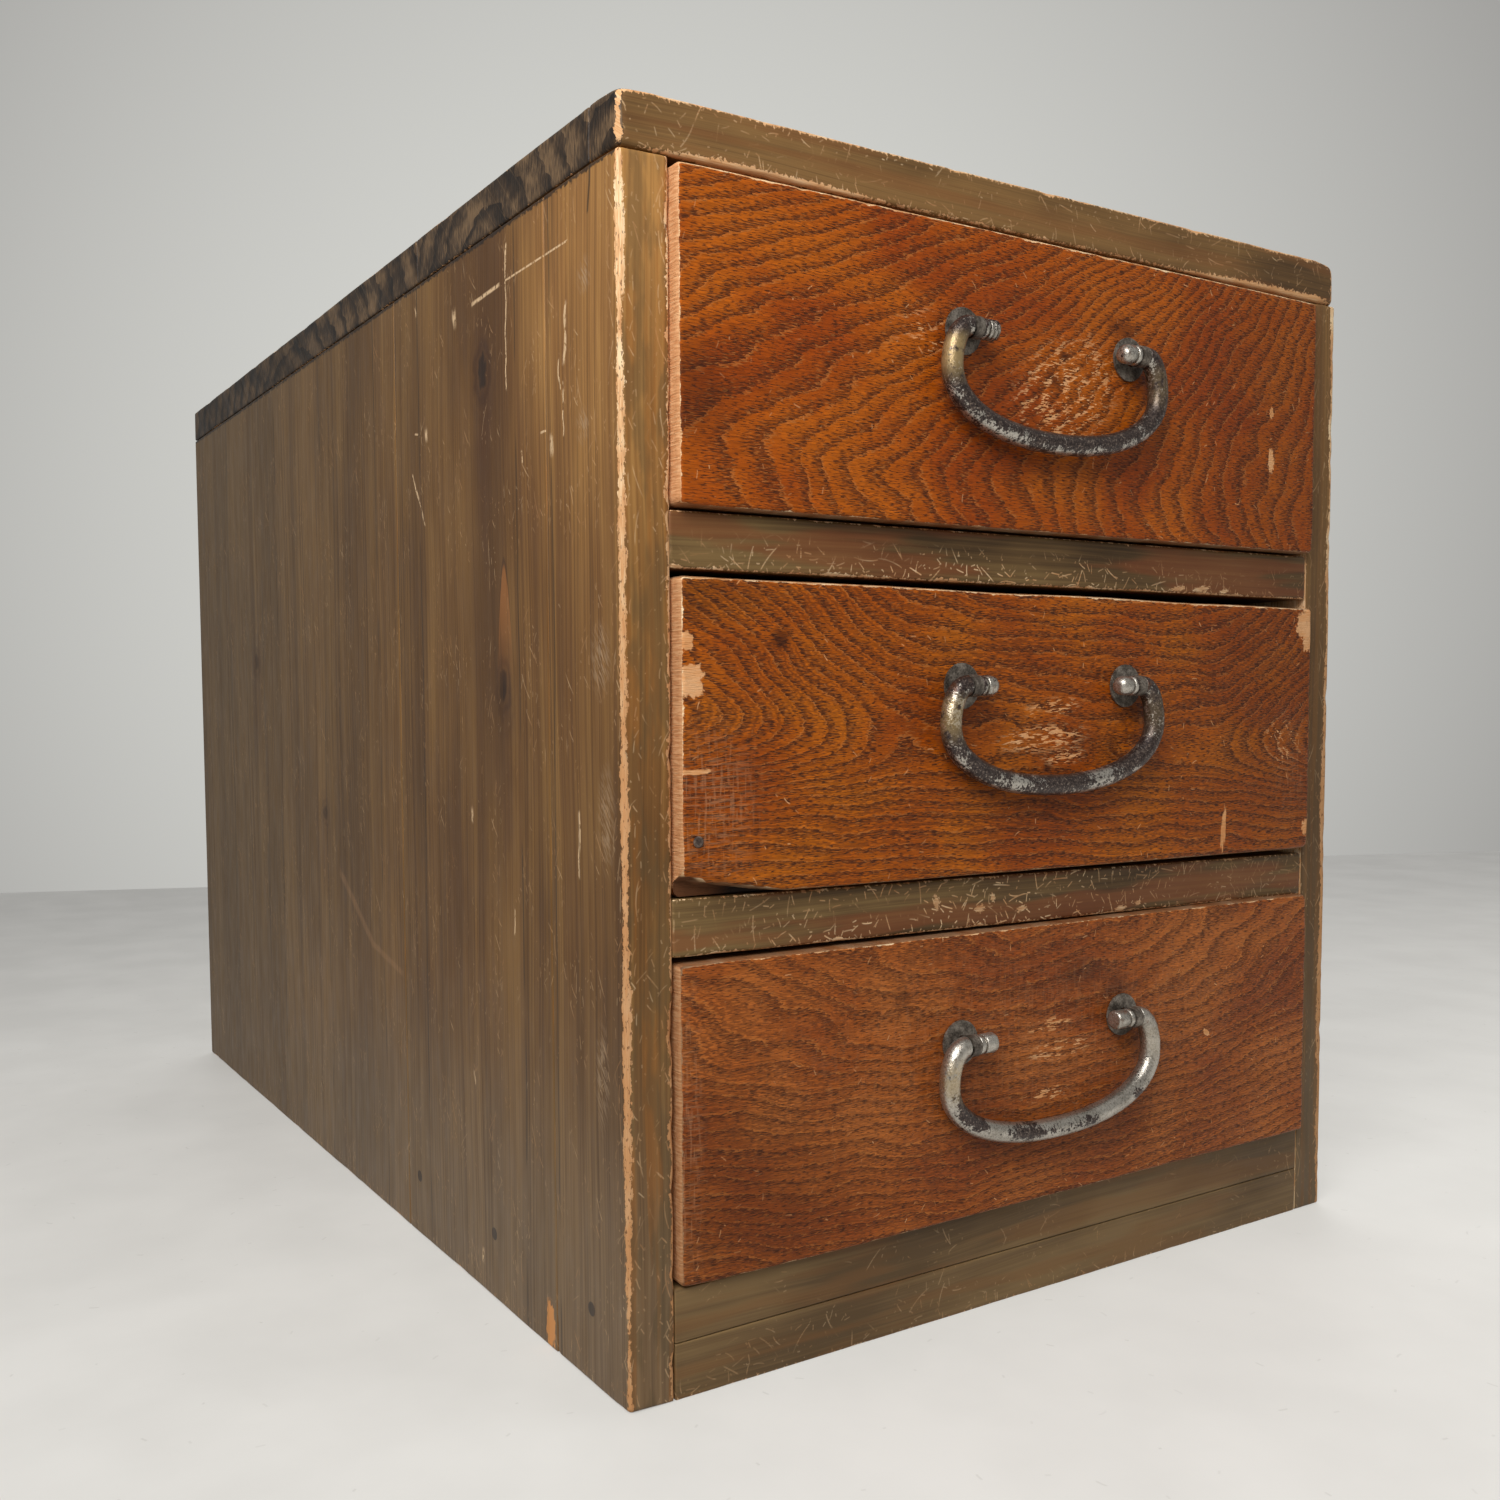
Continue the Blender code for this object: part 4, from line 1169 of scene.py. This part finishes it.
# Handles
KNOB_END = 0.0268
KNOB_RADIUS = 0.0032
NECK_RADIUS = 0.0020
GROOVE_RADIUS = 0.0023
KNOB_FOOT = 0.0316
COLLAR_START = 0.0324
NECK_START = 0.0340
NECK_STOP = 0.0380
BEND_START = 0.0384
BEND_HEIGHT = 0.0115
BOW_FULLNESS = 2.19
GROOVE_HALF = 0.0004
GROOVE_DEPTH = 0.0008
KNOB_LIP = 0.00022
SHOULDER = 0.0004
KNOB_STEPS = 8
BEND_STEPS = 14
BOW_STEPS = 30
ROD_FACETS = 28
DENT = 0.00009
DENT_LENGTHS = (0.0045, 0.0016)
SAME_PLACE = 1e-7
SHARP_ANGLE = math.radians(50)


def knob_profile(rod, rounding, grooves):
    """(x, radius) along a knob, its collar and the neck, up to where the rod starts."""
    profile = []
    for step in range(KNOB_STEPS + 1):
        turn = math.pi / 2 * step / KNOB_STEPS
        x = KNOB_END + rounding * (1 - math.cos(turn))
        profile.append((x, KNOB_RADIUS - rounding * (1 - math.sin(turn))))
    for place in grooves:
        profile += [(place - GROOVE_HALF, KNOB_RADIUS), (place, KNOB_RADIUS - GROOVE_DEPTH)]
        profile += [(place + GROOVE_HALF, KNOB_RADIUS)]
    edge = KNOB_RADIUS - KNOB_LIP
    profile += [(KNOB_FOOT - KNOB_LIP, KNOB_RADIUS), (KNOB_FOOT, edge)]
    profile += [(KNOB_FOOT, GROOVE_RADIUS), (COLLAR_START, GROOVE_RADIUS)]
    profile += [(COLLAR_START, edge), (COLLAR_START + KNOB_LIP, KNOB_RADIUS)]
    profile += [(NECK_START - KNOB_LIP, KNOB_RADIUS), (NECK_START, edge)]
    profile += [(NECK_START, NECK_RADIUS), (NECK_STOP, NECK_RADIUS), (NECK_STOP, rod - SHOULDER)]
    return profile + [(NECK_STOP + SHOULDER / 4, rod - SHOULDER / 2)]


def bail_stations(half_width, drop, rod, rounding, grooves=()):
    """(x, z, radius) along one half of a bail, from the end of its knob to the middle of its bow."""
    stations = [(x, 0.0, radius) for x, radius in knob_profile(rod, rounding, grooves)]
    bend_width = half_width - BEND_START
    for step in range(BEND_STEPS + 1):
        turn = math.pi / 2 * step / BEND_STEPS
        x = BEND_START + bend_width * math.sin(turn)
        stations.append((x, -BEND_HEIGHT * (1 - math.cos(turn)), rod))
    power = 2 / BOW_FULLNESS
    for step in range(1, BOW_STEPS + 1):
        turn = math.pi / 2 * step / BOW_STEPS
        x = half_width * max(math.cos(turn), 0.0) ** power if step < BOW_STEPS else 0.0
        stations.append((x, -BEND_HEIGHT - (drop - BEND_HEIGHT) * math.sin(turn) ** power, rod))
    return stations


def heading(spots, i):
    """The direction of a line of points at one of them, halfway between those of its two stretches."""
    here = spots[i]
    before = next((p for p in reversed(spots[:i]) if (p - here).length > SAME_PLACE), here)
    after = next((p for p in spots[i + 1 :] if (p - here).length > SAME_PLACE), here)
    return ((here - before).normalized() + (after - here).normalized()).normalized()


def tube(line, centre):
    """Points and faces round a centre line in the XZ plane, closed at both ends."""
    points, faces = [], []
    spots = [Vector((x, 0.0, z)) for x, z, _radius in line]
    for i, (_x, _z, radius) in enumerate(line):
        side = Vector((0.0, 1.0, 0.0)).cross(heading(spots, i))
        spot = centre + spots[i]
        for k in range(ROD_FACETS):
            turn = math.tau * k / ROD_FACETS
            spoke = Vector((0.0, math.cos(turn), 0.0)) + side * math.sin(turn)
            coarse, fine = (noise.noise((spot + spoke * radius) / length) for length in DENT_LENGTHS)
            points.append(spot + spoke * (radius + DENT * (coarse + 0.5 * fine) - DENT))
    for i in range(len(line) - 1):
        for k in range(ROD_FACETS):
            a, b = i * ROD_FACETS + k, i * ROD_FACETS + (k + 1) % ROD_FACETS
            faces.append([a, b, b + ROD_FACETS, a + ROD_FACETS])
    last = (len(line) - 1) * ROD_FACETS
    faces.append(list(reversed(range(ROD_FACETS))))
    faces.append([last + k for k in range(ROD_FACETS)])
    return points, [face[::-1] for face in faces]


LEFT_GROOVES = {"top": (0.0288, 0.0304)}

# Share of bright steel, how much more of it there is below, the share of a brassy tint on the arms (partly
# painted highlight), the knobs' rounding, and patches as (centre in mm from the eyes' line, reach, change
# of that share)
HANDLE_LOOKS = {
    "top": {
        "silver": -0.34,
        "underside": 0.29,
        "brass_and_highlight": 0.55,
        "seed": 0.0,
        "round": 0.0024,
        "patches": (((-24.0, -33.0), (14.0, 8.0), 0.1),),
    },
    "middle": {
        "silver": -0.26,
        "underside": 0.2,
        "brass_and_highlight": 0.4,
        "seed": 4.0,
        "round": 0.0024,
        "patches": (
            ((-23.0, -33.0), (17.0, 8.0), 0.28),
            ((20.0, -30.0), (15.0, 7.0), 0.24),
            ((-46.0, -12.0), (8.0, 14.0), 0.2),
        ),
    },
    "bottom": {
        "silver": 0.42,
        "underside": 0.0,
        "brass_and_highlight": 0.35,
        "seed": 8.0,
        "round": 0.0010,
        "patches": (
            ((-39.0, -23.0), (9.0, 13.0), -1.05),
            ((-15.0, -33.0), (17.0, 7.0), -0.85),
            ((13.0, -34.0), (14.0, 6.0), -0.66),
            ((37.0, -27.0), (5.0, 5.0), -1.0),
        ),
    },
}
PLATE_STEEL = dull_metal("plate_steel", rgb(66, 58, 50), rgb(104, 95, 85), rgb(142, 132, 120), 0.5, 0.34)
NAIL_IRON = dull_metal("nail_iron", rgb(58, 48, 44), rgb(82, 70, 63), rgb(108, 93, 82), 0.0, 0.6, 0.1)


def build_handle(level, look):
    joint = next(j for j in frame["joints"] if j["child"] == level + "_handle")
    eye = Vector(joint["pos_m"])
    low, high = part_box(level + "_bail")
    rod = (high.y - low.y) / 2
    half_width = high.x - rod
    drop = eye.z - low.z - rod
    right = bail_stations(half_width, drop, rod, look["round"])
    left = bail_stations(half_width, drop, rod, look["round"], LEFT_GROOVES.get(level, ()))
    line = right + [(-x, z, radius) for x, z, radius in reversed(left[:-1])]
    points, faces = tube(line, eye)
    material = iron(level + "_iron", eye.z / MM, look)
    piece = make_piece(level + "_bail_look", points, faces, material, level + "_handle")
    piece.data.set_sharp_from_angle(angle=SHARP_ANGLE)
    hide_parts(level + "_bail")


def dress_kept_nodes():
    """CAD pieces that keep their shape: metal ones, and inner boards with bare wood along their grain."""
    for name, cad in frame["nodes"].items():
        if cad.hide_render:
            continue
        if "plate" in name or "eye_" in name:
            material = PLATE_STEEL
        elif "nail" in name:
            material = NAIL_IRON
        else:
            lengthwise = any(word in name for word in ("side", "runner", "cleat"))
            material = BARE["y" if lengthwise else "x"]
        cad.data.materials.clear()
        cad.data.materials.append(material)


# Stage
def build_stage():
    along = Vector((-WALL_DIRECTION.y, WALL_DIRECTION.x, 0.0)) * FLOOR_REACH
    far = WALL_DIRECTION * WALL_DISTANCE
    near = WALL_DIRECTION * -FLOOR_REACH
    mesh = bpy.data.meshes.new("floor")
    mesh.from_pydata([near + along, near - along, far - along, far + along], [], [[0, 1, 2, 3]])
    s = Surface("floor_paint_and_light")
    depth = (s.x * WALL_DIRECTION.x + s.y * WALL_DIRECTION.y).rise(-420.0, 960.0)
    cloud = s.noise(s.x / 60.0, s.y / 60.0, 1.0, detail=4.0)
    grit = s.nicks(s.x, s.y, 22.0, 3.0, 1.6, 0.5)
    colour = s.ramp(cloud, (0.3, rgb(168, 166, 162)), (0.7, rgb(178, 176, 172)))
    colour = s.mix(grit * 0.4, colour, rgb(120, 116, 108))
    # The floor's colour for camera rays is partly painted light: darker towards the wall and to the left
    # as painted shade, brighter to the right.
    floor_light = s.ramp(depth, (0.0, rgb(178, 176, 171)), (1.0, rgb(98, 97, 95)))
    aside = s.x * WALL_DIRECTION.y - s.y * WALL_DIRECTION.x
    floor_light = s.tint(floor_light, aside.rise(-600.0, 500.0) * 0.42 + 0.62 - depth * aside.rise(0.0, 500.0) * 0.14)
    normal = s.bump(cloud, 0.0004, 0.1)
    emission = (floor_light, s.background_ray())
    mesh.materials.append(s.finish(colour, 0.5, normal, specular=0.2, emission=emission))
    floor = bpy.data.objects.new("floor", mesh)
    bpy.context.scene.collection.objects.link(floor)


# Name, place, size in metres and power in watts
LAMPS = (("key", (-0.62, -0.62, 0.78), 0.55, 8.6), ("rear", (1.1, 1.3, 1.4), 1.2, 10.0))
LAMP_AIM = Vector((0.0, 0.0, 0.18))
FILL_COLOUR = rgb(252, 254, 255)
FILL_STRENGTH = 0.40
WALL_BRIGHT_SPOT = Vector((0.5167, 0.8502, 0.1013))
WALL_FADE_FROM = 0.835
WALL_DIM = rgb(163, 162, 159)
WALL_BRIGHT = rgb(216, 216, 211)


def build_world():
    """An even fill light, and a wall that shows only to the camera, in gloss and through glass."""
    world = bpy.data.worlds.new("studio")
    bpy.context.scene.world = world
    tree = Tree(world)
    place = tree.value("ShaderNodeTexCoord", "Generated", {})
    terms = {0: place, 1: WALL_BRIGHT_SPOT}
    facing = tree.value("ShaderNodeVectorMath", "Value", terms, operation="DOT_PRODUCT")
    fade = tree.value("ShaderNodeMapRange", "Result", {"Value": facing, "From Min": WALL_FADE_FROM})
    tone = tree.mix(fade, WALL_DIM, WALL_BRIGHT)
    fill = tree.value("ShaderNodeBackground", 0, {"Color": FILL_COLOUR, "Strength": FILL_STRENGTH})
    wall = tree.value("ShaderNodeBackground", 0, {"Color": tone})
    shown = tree.value("ShaderNodeMixShader", 0, {0: tree.background_ray(), 1: fill, 2: wall})
    tree.node("ShaderNodeOutputWorld", {0: shown})


def build_lamps():
    for name, place, size, power in LAMPS:
        data = bpy.data.lights.new(name, "AREA")
        data.size = size
        data.energy = power
        lamp = bpy.data.objects.new(name, data)
        lamp.visible_camera = False
        lamp.location = place
        lamp.rotation_euler = (LAMP_AIM - Vector(place)).to_track_quat("-Z", "Y").to_euler()
        bpy.context.scene.collection.objects.link(lamp)


def build_camera():
    data = bpy.data.cameras.new("camera")
    data.sensor_width = SENSOR_WIDTH
    data.lens = FOCAL_PIXELS / IMAGE_SIZE * SENSOR_WIDTH
    data.shift_x = (IMAGE_SIZE / 2 - CENTRE_PIXEL[0]) / IMAGE_SIZE
    data.shift_y = (CENTRE_PIXEL[1] - IMAGE_SIZE / 2) / IMAGE_SIZE
    data.clip_start = CLIP_START
    camera = bpy.data.objects.new("camera", data)
    az, el, roll = CAMERA_AZIMUTH, CAMERA_ELEVATION, CAMERA_ROLL
    look = Vector((math.sin(az) * math.cos(el), math.cos(az) * math.cos(el), math.sin(el)))
    right = Vector((math.cos(az), -math.sin(az), 0.0))
    up = right.cross(look)
    across = right * math.cos(roll) + up * math.sin(roll)
    upright = up * math.cos(roll) - right * math.sin(roll)
    turn = Matrix((across, upright, -look)).transposed().to_4x4()
    camera.matrix_world = Matrix.Translation(CAMERA_PLACE) @ turn
    bpy.context.scene.collection.objects.link(camera)
    bpy.context.scene.camera = camera


bpy.context.scene.view_settings.view_transform = "Standard"
build_camera()
build_stage()
build_world()
build_lamps()
build_side("left", "-x", "+x", LEFT_WEAR, spread_stile, step=0.007, seed=1.0)
build_side("right", "+x", "-x", RIGHT_WEAR, None, step=0.008, seed=3.0)
build_top()
build_rails()
for level, look in DRAWERS.items():
    build_drawer(level, look)
for level, look in HANDLE_LOOKS.items():
    build_handle(level, look)
dress_kept_nodes()
